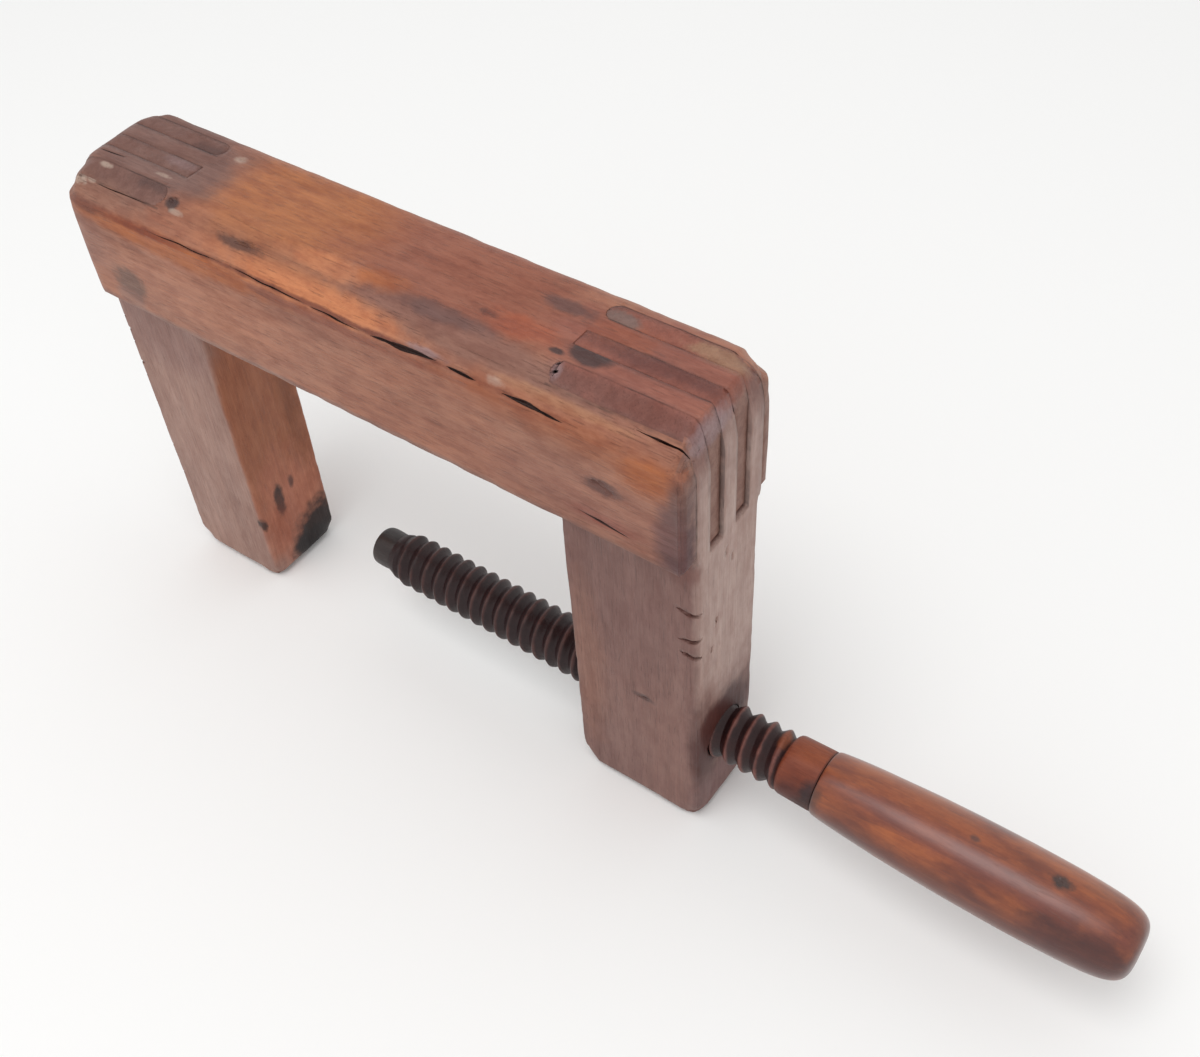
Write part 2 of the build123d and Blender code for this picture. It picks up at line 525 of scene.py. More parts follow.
@dataclass(frozen=True)
class Crack:
    """A thin split in a face.

    Args:
        start: One end, on the face.
        end: The other end, on the face.
        outward: The face's outward direction.
        width: Widest opening.
        depth: Depth below the face.
        seed: Picks another wander.
        wander: How far it strays from a straight line.
    """

    start: Point
    end: Point
    outward: Point
    width: float = 0.8
    depth: float = 3.0
    seed: float = 1.0
    wander: float = 0.8

    CUT_LENGTH = 3
    LEAST_CUTS = 6
    BEND_LENGTH = 14
    SWELL_LENGTH = 7
    SWELL = 0.55
    TIP = 0.05
    TAPER = 0.6
    ABOVE = 0.6
    MOUTH = 1.4
    BOTTOM = 0.3

    def tool(self) -> bpy.types.Object:
        """Make the closed wedge that cuts this crack.

        Returns:
            A thin box, divided along its length, pinched at both ends and at its bottom.
        """
        start = Vector(self.start)
        along = Vector(self.end) - start
        out = Vector(self.outward).normalized()
        side = out.cross(along).normalized()
        tool = cutting_tool("crack tool", bpy.ops.mesh.primitive_cube_add, size=1.0)
        bpy.ops.object.mode_set(mode="EDIT")
        bpy.ops.mesh.select_all(action="DESELECT")
        bpy.ops.object.mode_set(mode="OBJECT")
        for edge in tool.data.edges:
            one, two = (tool.data.vertices[i].co for i in edge.vertices)
            edge.select = abs(one.x - two.x) > 0.5
        bpy.ops.object.mode_set(mode="EDIT")
        bpy.ops.mesh.subdivide(number_cuts=max(self.LEAST_CUTS, int(along.length / self.CUT_LENGTH)))
        bpy.ops.object.mode_set(mode="OBJECT")

        def shaped(place: Vector, _: Vector) -> Vector:
            """Bend one point of the box into the crack.

            Args:
                place: Where the point is in the box.

            Returns:
                Where the point is in the crack.
            """
            unit = place * MM
            share = min(max(unit.x + 0.5, 0.0), 1.0)
            reached = share * along.length
            pinch = max(self.TIP, math.sin(math.pi * share) ** self.TAPER)
            swell = 1 + self.SWELL * noise.noise(Vector((reached / self.SWELL_LENGTH, 3.3, self.seed)))
            stray = noise.noise(Vector((reached / self.BEND_LENGTH, self.seed, 0.0))) * self.wander
            height = self.depth * self.ABOVE if unit.z > 0 else -self.depth * pinch
            half = self.width * swell * pinch * unit.y * (self.MOUTH if unit.z > 0 else self.BOTTOM)
            return start + along * share + side * (half + stray * pinch) + out * height

        Bench.move_points(tool, shaped)
        return tool


@dataclass(frozen=True)
class Nick:
    """A dent or chip, cut with a lumpy ball.

    Args:
        place: Middle of the nick.
        reach: Half sizes along X, Y and Z.
        turn: Turns about X, Y and Z, in degrees.
        lumpy: How uneven the ball is, from 0 to 1.
        seed: Picks another lumpiness.
    """

    place: Point
    reach: Point
    turn: Point = (0.0, 0.0, 0.0)
    lumpy: float = 0.35
    seed: float = 1.0

    BIG_LUMPS = 1.9
    SMALL_LUMPS = 4.5
    SMALL_SHARE = 0.4

    def tool(self) -> bpy.types.Object:
        """Make the closed ball that cuts this nick.

        Returns:
            A lumpy ball, squashed, turned and placed.
        """
        ball = bpy.ops.mesh.primitive_ico_sphere_add
        tool = cutting_tool("nick tool", ball, subdivisions=4, radius=1.0)
        spin = Quaternion((1, 0, 0), math.radians(self.turn[0]))
        spin = Quaternion((0, 1, 0), math.radians(self.turn[1])) @ spin
        spin = Quaternion((0, 0, 1), math.radians(self.turn[2])) @ spin
        centre = Vector(self.place)

        def shaped(place: Vector, _: Vector) -> Vector:
            """Swell, squash and place one point of the ball.

            Args:
                place: Where the point is in the ball.

            Returns:
                Where the point is in the nick.
            """
            unit = place * MM
            big = noise.noise(unit * self.BIG_LUMPS + Vector((self.seed, 0, self.seed)))
            small = noise.noise(unit * self.SMALL_LUMPS + Vector((0, self.seed, 0)))
            swell = 1 + self.lumpy * big
            swell += self.lumpy * self.SMALL_SHARE * small
            return centre + spin @ Vector(part * half * swell for part, half in zip(unit, self.reach))

        Bench.move_points(tool, shaped)
        return tool


# Finishes: node groups that the woods share, and one finish for each wood

FINGER = BEAM_HIGH.y * 2 / 7
STRAY = 0.9
LINE_HALF = 0.15
LINE_FADE = 0.6


class NodeSheet:
    """A node tree that is filled in one node at a time."""

    def __init__(self, tree: bpy.types.NodeTree) -> None:
        """Start on a node tree, and keep it."""
        self.tree = tree

    def add(self, kind: str, inputs: dict[str, object] | None = None, **settings: object) -> bpy.types.Node:
        """Add one node.

        Args:
            kind: Blender's name of the node type.
            inputs: Values or sockets for the node's inputs, by input name.
            **settings: The node's own settings.

        Returns:
            The new node.
        """
        node = self.tree.nodes.new(kind)
        for key, value in settings.items():
            setattr(node, key, value)
        for key, value in (inputs or {}).items():
            self.feed(node.inputs[key], value)
        return node

    def feed(self, socket: bpy.types.NodeSocket, value: object) -> None:
        """Link a socket to another socket, or set it to a value.

        Args:
            socket: The input to feed.
            value: An output socket or a plain value.
        """
        if isinstance(value, bpy.types.NodeSocket):
            self.tree.links.new(value, socket)
        else:
            socket.default_value = value

    def math(self, operation: str, *values: object) -> bpy.types.NodeSocket:
        """Add a Math node.

        Args:
            operation: Blender's name of the operation.
            *values: Values or sockets to work on.

        Returns:
            The node's output.
        """
        node = self.add("ShaderNodeMath", operation=operation)
        for socket, value in zip(node.inputs, values):
            self.feed(socket, value)
        return node.outputs[0]

    def vector(self, operation: str, *values: object) -> bpy.types.Node:
        """Add a Vector Math node.

        Args:
            operation: Blender's name of the operation.
            *values: Vectors or sockets to work on.

        Returns:
            The new node.
        """
        node = self.add("ShaderNodeVectorMath", operation=operation)
        for socket, value in zip(node.inputs, values):
            self.feed(socket, value)
        return node

    def mix(
        self, factor: object, first: object, second: object, blend: str = "MIX"
    ) -> bpy.types.NodeSocket:
        """Mix two colours.

        Args:
            factor: Share of the second colour.
            first: The first colour.
            second: The second colour.
            blend: Blender's name of the way to mix them.

        Returns:
            The mixed colour.
        """
        node = self.add("ShaderNodeMix", data_type="RGBA", blend_type=blend, clamp_factor=True)
        self.feed(node.inputs[0], factor)
        self.feed(node.inputs[6], first)
        self.feed(node.inputs[7], second)
        return node.outputs[2]

    def spread(
        self, value: object, low: object, high: object, first: float = 0.0, last: float = 1.0
    ) -> bpy.types.NodeSocket:
        """Map a value to another range, with soft ends.

        Args:
            value: The value to map.
            low: Value that becomes the first one.
            high: Value that becomes the last one.
            first: What comes out at and below low.
            last: What comes out at and above high.

        Returns:
            The mapped value.
        """
        node = self.add("ShaderNodeMapRange", interpolation_type="SMOOTHSTEP")
        for socket, part in zip(node.inputs, (value, low, high, first, last)):
            self.feed(socket, part)
        return node.outputs[0]

    def noise(self, vector: object, scale: object, detail: float, rough: float) -> bpy.types.NodeSocket:
        """Add a Noise texture and return its value."""
        given = {"Vector": vector, "Scale": scale, "Detail": detail, "Roughness": rough}
        return self.add("ShaderNodeTexNoise", given).outputs["Fac"]

    def stretched(self, vector: object, along: float) -> bpy.types.NodeSocket:
        """Scale a vector along the fibres, which run along X."""
        node = self.add("ShaderNodeMapping", {"Vector": vector, "Scale": (along, 1.0, 1.0)})
        return node.outputs[0]

    def group(self, tree: bpy.types.NodeTree, inputs: dict[str, object]) -> bpy.types.Node:
        """Place a node group, and give its inputs their values or sockets."""
        return self.add("ShaderNodeGroup", inputs, node_tree=tree)


class Groups:
    """Shader node groups that more than one wood uses."""

    @staticmethod
    def start(
        name: str, inputs: dict[str, tuple[str, object]], outputs: Sequence[str]
    ) -> tuple[NodeSheet, bpy.types.Node, bpy.types.Node]:
        """Begin a node group.

        Args:
            name: The group's name.
            inputs: Socket type and default value of each input, by name.
            outputs: Names of the outputs, all of them values.

        Returns:
            The group's sheet, its input node and its output node.
        """
        tree = bpy.data.node_groups.new(name, "ShaderNodeTree")
        for key, (kind, default) in inputs.items():
            socket = tree.interface.new_socket(key, in_out="INPUT", socket_type=kind)
            socket.default_value = default
        for key in outputs:
            tree.interface.new_socket(key, in_out="OUTPUT", socket_type="NodeSocketFloat")
        sheet = NodeSheet(tree)
        return sheet, sheet.add("NodeGroupInput"), sheet.add("NodeGroupOutput")

    @staticmethod
    def grain() -> bpy.types.NodeTree:
        """Build the wood grain group, with fibres along X.

        Returns:
            A group with growth rings, fibre streaks, dark pores, two broad tones and fine mottles.
        """
        sheet, given, made = Groups.start(
            "Wood grain",
            {
                "Vector": ("NodeSocketVector", (0.0, 0.0, 0.0)),
                "Ring Scale": ("NodeSocketFloat", 60.0),
                "Tone Scale": ("NodeSocketFloat", 40.0),
            },
            ("Rings", "Fibres", "Pores", "Tone", "Haze", "Mottle"),
        )
        place = given.outputs["Vector"]
        rings = sheet.add(
            "ShaderNodeTexWave",
            {
                "Vector": sheet.stretched(place, 0.07),
                "Scale": given.outputs["Ring Scale"],
                "Distortion": 5.0,
                "Detail": 2.0,
                "Detail Scale": 0.6,
                "Detail Roughness": 0.6,
            },
            wave_type="RINGS",
            rings_direction="X",
            wave_profile="SAW",
        )
        sheet.feed(made.inputs["Rings"], rings.outputs["Fac"])
        fine = sheet.noise(sheet.stretched(place, 0.03), 900.0, 4.0, 0.65)
        broad = sheet.noise(sheet.stretched(place, 0.05), 260.0, 3.0, 0.6)
        fibres = sheet.math("ADD", sheet.math("MULTIPLY", fine, 0.5), sheet.math("MULTIPLY", broad, 0.5))
        sheet.feed(made.inputs["Fibres"], sheet.spread(fibres, 0.3, 0.7))
        pores = sheet.noise(sheet.stretched(place, 0.05), 1700.0, 2.0, 0.5)
        sheet.feed(made.inputs["Pores"], sheet.spread(pores, 0.6, 0.74))
        tone = sheet.noise(sheet.stretched(place, 0.35), given.outputs["Tone Scale"], 4.0, 0.6)
        sheet.feed(made.inputs["Tone"], sheet.spread(tone, 0.36, 0.64))
        shifted = sheet.vector("ADD", place, (0.31, 0.17, 0.23)).outputs[0]
        haze = sheet.noise(sheet.stretched(shifted, 0.3), given.outputs["Tone Scale"], 5.0, 0.65)
        sheet.feed(made.inputs["Haze"], sheet.spread(haze, 0.42, 0.66))
        mottle = sheet.noise(sheet.stretched(shifted, 0.4), 170.0, 5.0, 0.7)
        sheet.feed(made.inputs["Mottle"], sheet.spread(mottle, 0.36, 0.66))
        return sheet.tree

    @staticmethod
    def stain_and_painted_light() -> bpy.types.NodeTree:
        """Build the blot group: a soft blot with a ragged edge round a place, for real marks and for
        painted sheen and shade.

        Returns:
            A group that gives 1 inside the blot and 0 outside.
        """
        sheet, given, made = Groups.start(
            "StainAndPaintedLight",
            {
                "Vector": ("NodeSocketVector", (0.0, 0.0, 0.0)),
                "Centre": ("NodeSocketVector", (0.0, 0.0, 0.0)),
                "Reach": ("NodeSocketVector", (0.01, 0.01, 0.01)),
                "Ragged": ("NodeSocketFloat", 0.35),
                "Soft": ("NodeSocketFloat", 0.4),
                "Grit": ("NodeSocketFloat", 150.0),
            },
            ("Mask",),
        )
        away = sheet.vector("SUBTRACT", given.outputs["Vector"], given.outputs["Centre"]).outputs[0]
        scaled = sheet.vector("DIVIDE", away, given.outputs["Reach"]).outputs[0]
        length = sheet.vector("LENGTH", scaled).outputs["Value"]
        rough = sheet.noise(given.outputs["Vector"], given.outputs["Grit"], 4.0, 0.6)
        lift = sheet.math("MULTIPLY", given.outputs["Ragged"], 3.0)
        shift = sheet.math("MULTIPLY", sheet.math("SUBTRACT", rough, 0.5), lift)
        edge = sheet.math("ADD", length, shift)
        inner = sheet.math("SUBTRACT", 1.0, given.outputs["Soft"])
        outer = sheet.math("ADD", 1.0, given.outputs["Soft"])
        sheet.feed(made.inputs["Mask"], sheet.math("SUBTRACT", 1.0, sheet.spread(edge, inner, outer)))
        return sheet.tree

    @staticmethod
    def edge_wear_and_highlight() -> bpy.types.NodeTree:
        """Build the group that breaks up the rubbed band along edges, which on the screw's crests also
        paints a highlight.

        Returns:
            A group that gives how far an edge is rubbed bare, and on the screw how strong the painted crest
            highlight is.
        """
        sheet, given, made = Groups.start(
            "Edge wear and highlight",
            {
                "Vector": ("NodeSocketVector", (0.0, 0.0, 0.0)),
                "Arris": ("NodeSocketFloat", 0.0),
            },
            ("Rubbed And Highlight",),
        )
        rough = sheet.noise(given.outputs["Vector"], 90.0, 4.0, 0.65)
        lifted = sheet.math("ADD", given.outputs["Arris"], sheet.math("SUBTRACT", rough, 0.5))
        sheet.feed(made.inputs["Rubbed And Highlight"], sheet.spread(lifted, 0.35, 0.9))
        return sheet.tree

    @staticmethod
    def joint_dirt() -> bpy.types.NodeTree:
        """Build the joint dirt group: dark lines where the comb's fingers meet.

        Returns:
            A group that gives 1 on a joint line at the beam's ends and 0 elsewhere.
        """
        sheet, given, made = Groups.start(
            "Joint dirt", {"Vector": ("NodeSocketVector", (0.0, 0.0, 0.0))}, ("Mask",)
        )
        place = sheet.add("ShaderNodeSeparateXYZ", {"Vector": given.outputs["Vector"]})
        wave = sheet.noise(given.outputs["Vector"], 120.0, 3.0, 0.6)
        stray = sheet.math("MULTIPLY", sheet.math("SUBTRACT", wave, 0.5), STRAY * MM)
        across = sheet.math("ABSOLUTE", sheet.math("ADD", place.outputs["Y"], stray))
        half = FINGER / 2
        away = sheet.math("PINGPONG", sheet.math("ADD", across, half * MM), half * MM)
        line = sheet.spread(away, LINE_HALF * MM, LINE_FADE * MM, 1.0, 0.0)
        outermost = FINGER * 2.7
        inside = sheet.spread(across, outermost * MM, (outermost + 1) * MM, 1.0, 0.0)
        left = sheet.spread(place.outputs["X"], (FIXED_HIGH.x - 1) * MM, FIXED_HIGH.x * MM, 1.0, 0.0)
        right = sheet.spread(place.outputs["X"], THREADED_LOW.x * MM, (THREADED_LOW.x + 1) * MM)
        high = sheet.spread(place.outputs["Z"], BEAM_LOW.z * MM, (BEAM_LOW.z + 2) * MM)
        ends = sheet.math("MULTIPLY", sheet.math("MAXIMUM", left, right), high)
        broken = sheet.spread(sheet.noise(given.outputs["Vector"], 55.0, 4.0, 0.6), 0.4, 0.62, 0.12, 1.0)
        on_joint = sheet.math("MULTIPLY", line, inside)
        on_end = sheet.math("MULTIPLY", ends, broken)
        sheet.feed(made.inputs["Mask"], sheet.math("MULTIPLY", on_joint, on_end))
        return sheet.tree


GRAIN = Groups.grain()
STAIN_AND_PAINTED_LIGHT = Groups.stain_and_painted_light()
EDGE_WEAR_AND_HIGHLIGHT = Groups.edge_wear_and_highlight()
JOINT_DIRT = Groups.joint_dirt()


SOOT = paint(30, 23, 24)
STREAK_SHADE = paint(172, 152, 146)
MOTTLE_SHADE = paint(196, 160, 150)
JOINT_SHADE = 0.5


@dataclass(frozen=True)
class StainAndPaintedLight:
    """A blot of another colour: most are real marks on the wood, some are painted sheen and some painted
    shade.

    Args:
        centre: Middle of the blot.
        reach: Half sizes along X, Y and Z.
        colour: The blot's colour.
        strength: How much of the wood it covers, from 0 to 1.
        ragged: How uneven its outline is.
        soft: Width of its edge, as a share of its size.
        grit: How fine the unevenness of its outline is, in lumps to the metre.
    """

    centre: Point
    reach: Point
    colour: Paint
    strength: float = 0.8
    ragged: float = 0.35
    soft: float = 0.4
    grit: float = 150.0


@dataclass(frozen=True)
class WoodFinish:
    """The finish of one wood.

    Args:
        name: The material's name.
        fibre: The axis that the fibres run along.
        pith: A point on the middle of the tree, which the rings run round.
        light: Colour of the pale wood between rings.
        dark: Colour of the late wood.
        bloom: Warm colour that the broad tone leans to.
        haze: Cool colour of old dirt and polish.
        end_grain: Colour of the sawn ends, across the fibres.
        rubbed: Colour of worn edges; on the screw it also paints a highlight along the crests.
        pore: Colour of the pores.
        stains_and_painted_light: Blots on this wood, from the first laid to the last; most are real marks,
            some are painted sheen and some painted shade.
        roughness: Lowest and highest roughness.
        coat: Thickness of varnish or hand polish, from 0 to 1.
        coat_roughness: Roughness of that coat.
        ring_scale: How close the rings are.
        ring_share: How much of the rings shows.
        fibre_share: How much of the fibre streaks shows.
        mottle_share: How much of the fine mottles shows.
        pore_share: How much of the pores shows.
        tone_scale: How small the broad patches are.
        bloom_share: How much of the warm tone shows.
        haze_share: How much of the cool tone shows.
        end_share: How much the sawn ends take their own colour.
        relief: Height of the grain.
        jointed: Whether the comb joint's dark lines cross this wood.
    """

    name: str
    fibre: Fibre
    pith: Point
    light: Paint
    dark: Paint
    bloom: Paint
    haze: Paint
    end_grain: Paint
    rubbed: Paint
    pore: Paint
    stains_and_painted_light: tuple[StainAndPaintedLight, ...] = ()
    roughness: Pair = (0.5, 0.75)
    coat: float = 0.1
    coat_roughness: float = 0.3
    ring_scale: float = 60.0
    ring_share: float = 0.4
    fibre_share: float = 0.35
    mottle_share: float = 0.5
    pore_share: float = 0.3
    tone_scale: float = 40.0
    bloom_share: float = 0.5
    haze_share: float = 0.4
    end_share: float = 0.8
    relief: float = 0.3
    jointed: bool = False

    END_FACING = (0.6, 0.92)
    END_ROUGHNESS = 0.5
    ROUGHEST = 1.3
    FIBRE_RELIEF = 0.7
    BUMP_STRENGTH = 0.7
    SPECULAR = 0.35

    def grown(
        self, sheet: NodeSheet, place: bpy.types.NodeSocket
    ) -> tuple[bpy.types.Node, bpy.types.NodeSocket]:
        """Lay the grain.

        Args:
            sheet: The material's sheet.
            place: The Object coordinates.

        Returns:
            The grain group's node and the wood's own colour.
        """
        turn = (0.0, math.radians(90), 0.0) if self.fibre is Fibre.UPRIGHT else (0.0, 0.0, 0.0)
        centred = sheet.vector("SUBTRACT", place, Vector(self.pith) * MM).outputs[0]
        laid = sheet.add("ShaderNodeMapping", {"Vector": centred, "Rotation": turn}).outputs[0]
        scales = {"Ring Scale": self.ring_scale, "Tone Scale": self.tone_scale}
        grain = sheet.group(GRAIN, {"Vector": laid, **scales})
        rings = sheet.math("MULTIPLY", grain.outputs["Rings"], self.ring_share)
        tone = sheet.math("MULTIPLY", grain.outputs["Tone"], self.bloom_share)
        haze = sheet.math("MULTIPLY", grain.outputs["Haze"], self.haze_share)
        colour = sheet.mix(rings, self.light, self.dark)
        colour = sheet.mix(tone, colour, self.bloom)
        return grain, sheet.mix(haze, colour, self.haze)

    def with_stains_and_painted_light(
        self, sheet: NodeSheet, place: bpy.types.NodeSocket, colour: bpy.types.NodeSocket
    ) -> bpy.types.NodeSocket:
        """Lay the blots over a colour: real marks, painted sheen and painted shade.

        Args:
            sheet: The material's sheet.
            place: The Object coordinates.
            colour: The colour under the blots.

        Returns:
            The colour with its blots.
        """
        for stain_and_painted_light in self.stains_and_painted_light:
            blot = sheet.group(
                STAIN_AND_PAINTED_LIGHT,
                {
                    "Vector": place,
                    "Centre": Vector(stain_and_painted_light.centre) * MM,
                    "Reach": Vector(stain_and_painted_light.reach) * MM,
                    "Ragged": stain_and_painted_light.ragged,
                    "Soft": stain_and_painted_light.soft,
                    "Grit": stain_and_painted_light.grit,
                },
            )
            cover = sheet.math("MULTIPLY", blot.outputs["Mask"], stain_and_painted_light.strength)
            colour = sheet.mix(cover, colour, stain_and_painted_light.colour)
        return colour

    def material(self) -> bpy.types.Material:
        """Build the material.

        Returns:
            A material that reads only Object coordinates, the normal and the arris attribute.
        """
        material = bpy.data.materials.new(self.name)
        material.use_nodes = True
        material.node_tree.nodes.clear()
        sheet = NodeSheet(material.node_tree)
        place = sheet.add("ShaderNodeTexCoord").outputs["Object"]
        grain, colour = self.grown(sheet, place)

        normal = sheet.add("ShaderNodeNewGeometry").outputs["True Normal"]
        axes = sheet.add("ShaderNodeSeparateXYZ", {"Vector": normal})
        facing = sheet.math("ABSOLUTE", axes.outputs[self.fibre.value])
        ends = sheet.spread(facing, *self.END_FACING)
        colour = sheet.mix(sheet.math("MULTIPLY", ends, self.end_share), colour, self.end_grain)

        arris = sheet.add("ShaderNodeAttribute", attribute_name="arris", attribute_type="GEOMETRY")
        # Worn edges; on the screw the same band is also a painted highlight along the crests.
        wear = sheet.group(EDGE_WEAR_AND_HIGHLIGHT, {"Vector": place, "Arris": arris.outputs["Fac"]})
        colour = sheet.mix(wear.outputs["Rubbed And Highlight"], colour, self.rubbed)
        colour = self.with_stains_and_painted_light(sheet, place, colour)

        streaks = sheet.math("MULTIPLY", grain.outputs["Fibres"], self.fibre_share)
        colour = sheet.mix(streaks, colour, STREAK_SHADE, "MULTIPLY")
        patches = sheet.math("MULTIPLY", grain.outputs["Mottle"], self.mottle_share)
        colour = sheet.mix(patches, colour, MOTTLE_SHADE, "MULTIPLY")
        pores = sheet.math("MULTIPLY", grain.outputs["Pores"], self.pore_share)
        colour = sheet.mix(pores, colour, self.pore)
        if self.jointed:
            dirt = sheet.group(JOINT_DIRT, {"Vector": place})
            colour = sheet.mix(sheet.math("MULTIPLY", dirt.outputs["Mask"], JOINT_SHADE), colour, SOOT)

        low, high = self.roughness
        dry_ends = sheet.math("MULTIPLY", ends, self.END_ROUGHNESS)
        patchy = sheet.math("ADD", grain.outputs["Haze"], dry_ends)
        rough = sheet.spread(patchy, 0.0, self.ROUGHEST, low, high)
        raised = sheet.math("MULTIPLY", grain.outputs["Fibres"], self.FIBRE_RELIEF)
        height = sheet.math("SUBTRACT", grain.outputs["Pores"], raised)
        relief = {"Height": height, "Distance": self.relief * MM, "Strength": self.BUMP_STRENGTH}
        bump = sheet.add("ShaderNodeBump", relief)
        shader = sheet.add(
            "ShaderNodeBsdfPrincipled",
            {
                "Base Color": colour,
                "Roughness": rough,
                "Normal": bump.outputs[0],
                "Coat Weight": self.coat,
                "Coat Roughness": self.coat_roughness,
                "Specular IOR Level": self.SPECULAR,
            },
        )
        sheet.add("ShaderNodeOutputMaterial", {"Surface": shader.outputs[0]})
        return material


# Pieces


@dataclass
class Block:
    """A worn block of the frame: the beam or a jaw.

    Args:
        node: The node that it stands for.
        slot: The record's material slot.
        finish: The wood's finish.
        wear: The wear of the whole frame.
        dirt: The finish of the cracks' walls.
        cracks: Splits in its faces.
        nicks: Dents and chips in it.
        step: Distance between the points that wear can move.
        bore: Radius round the screw's axis that stays true, if the screw runs through the block.
        bore_fade: Distance from there over which the wear sets in.
        sharp: Edges sharper than this, in degrees, stay sharp.
    """

    node: str
    slot: str
    finish: WoodFinish
    wear: FrameWear
    dirt: WoodFinish
    cracks: tuple[Crack, ...] = ()
    nicks: tuple[Nick, ...] = ()
    step: float = 2.5
    bore: float | None = None
    bore_fade: float = 4.0
    sharp: float = 32.0

    def free(self, place: Vector) -> float:
        """Tell how free a place is to move.

        Args:
            place: Where a point is.

        Returns:
            A value from 0, in the screw's hole, to 1 well away from it.
        """
        if self.bore is None:
            return 1.0
        away = math.hypot(place.y, place.z - AXIS_HEIGHT)
        return min(max((away - self.bore) / self.bore_fade, 0.0), 1.0)

    def build(self) -> bpy.types.Object:
        """Make the block, and let it stand for its node.

        Returns:
            The finished piece.
        """
        piece = Bench.copy_of(self.node, f"worn_{self.node}")
        low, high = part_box(self.node)
        Bench.slice_up(piece, Vector(low) / MM, Vector(high) / MM, self.step)
        Bench.move_points(piece, lambda place, _: place.lerp(self.wear.worn(place), self.free(place)))
        piece.data.materials.append(self.finish.material())
        Bench.combine(piece, [nick.tool() for nick in self.nicks], "DIFFERENCE", crossing=bool(self.cracks))
        if self.cracks:
            tools = [crack.tool() for crack in self.cracks]
            dirt = self.dirt.material()
            for tool in tools:
                tool.data.materials.append(dirt)
            Bench.combine(piece, tools, "DIFFERENCE", crossing=True)
        Bench.mark(piece, "arris", self.wear.edge_nearness)
        return Bench.finish(piece, self.node, "frame", self.slot, self.sharp)


@dataclass(frozen=True)
class Thread:
    """The screw's coarse wooden thread.

    Args:
        pitch: Distance from one turn to the next.
        crest: Radius over the crests.
        root: Radius at the bottom of the groove.
        land: Half the width of the crest.
        end: Middle of the groove at the top of the screw, where the thread ends.
        lead_in: Length over which the first turns grow to their full height.
        lead_in_radius: Radius of the screw's end, where they start.
        worn_off: How far the crest's edges are worn down, and over what width.
        dulled: Wear that the whole outline has.
        filled: How far the groove is filled with dirt, and over what width.
        samples: Places across a turn where its outline has a point, as shares of the pitch.
    """

    pitch: float = 8.3
    crest: float = 15.0
    root: float = 11.8
    land: float = 0.35
    end: float = 111.0
    lead_in: float = 10.0
    lead_in_radius: float = 11.2
    worn_off: Pair = (0.2, 0.35)
    dulled: float = 0.05
    filled: Pair = (0.25, 0.6)
    samples: tuple[float, ...] = (0.0, 0.04, 0.09, 0.2, 0.32, 0.39, 0.43, 0.465, 0.5)

    def height(self, share: float) -> float:
        """Work out the radius of the worn outline.

        Args:
            share: Place across a turn, from 0 in a groove over 0.5 on the crest to 1 in the next.

        Returns:
            The radius at that place.
        """
        from_crest = abs(share - 0.5) * self.pitch
        half = self.pitch / 2
        slope = (self.crest - self.root) / (half - self.land)
        flank = self.crest - slope * max(from_crest - self.land, 0.0)
        depth, width = self.worn_off
        rounding = depth * math.exp(-(((from_crest - self.land) / width) ** 2)) + self.dulled
        depth, width = self.filled
        filling = depth * math.exp(-(((half - from_crest) / width) ** 2))
        return flank - rounding + filling

    def fullness(self, radius: float) -> float:
        """Tell where a radius lies between the groove's, at 0, and the crest's, at 1."""
        return (radius - self.root) / (self.crest - self.root)

    def outline(self, start: float) -> list[Pair]:
        """List one turn's outline from groove to groove, as places along X and radii."""
        shares = [*self.samples, *(1 - share for share in reversed(self.samples[:-1]))]
        return [(start + share * self.pitch, self.height(share)) for share in shares]


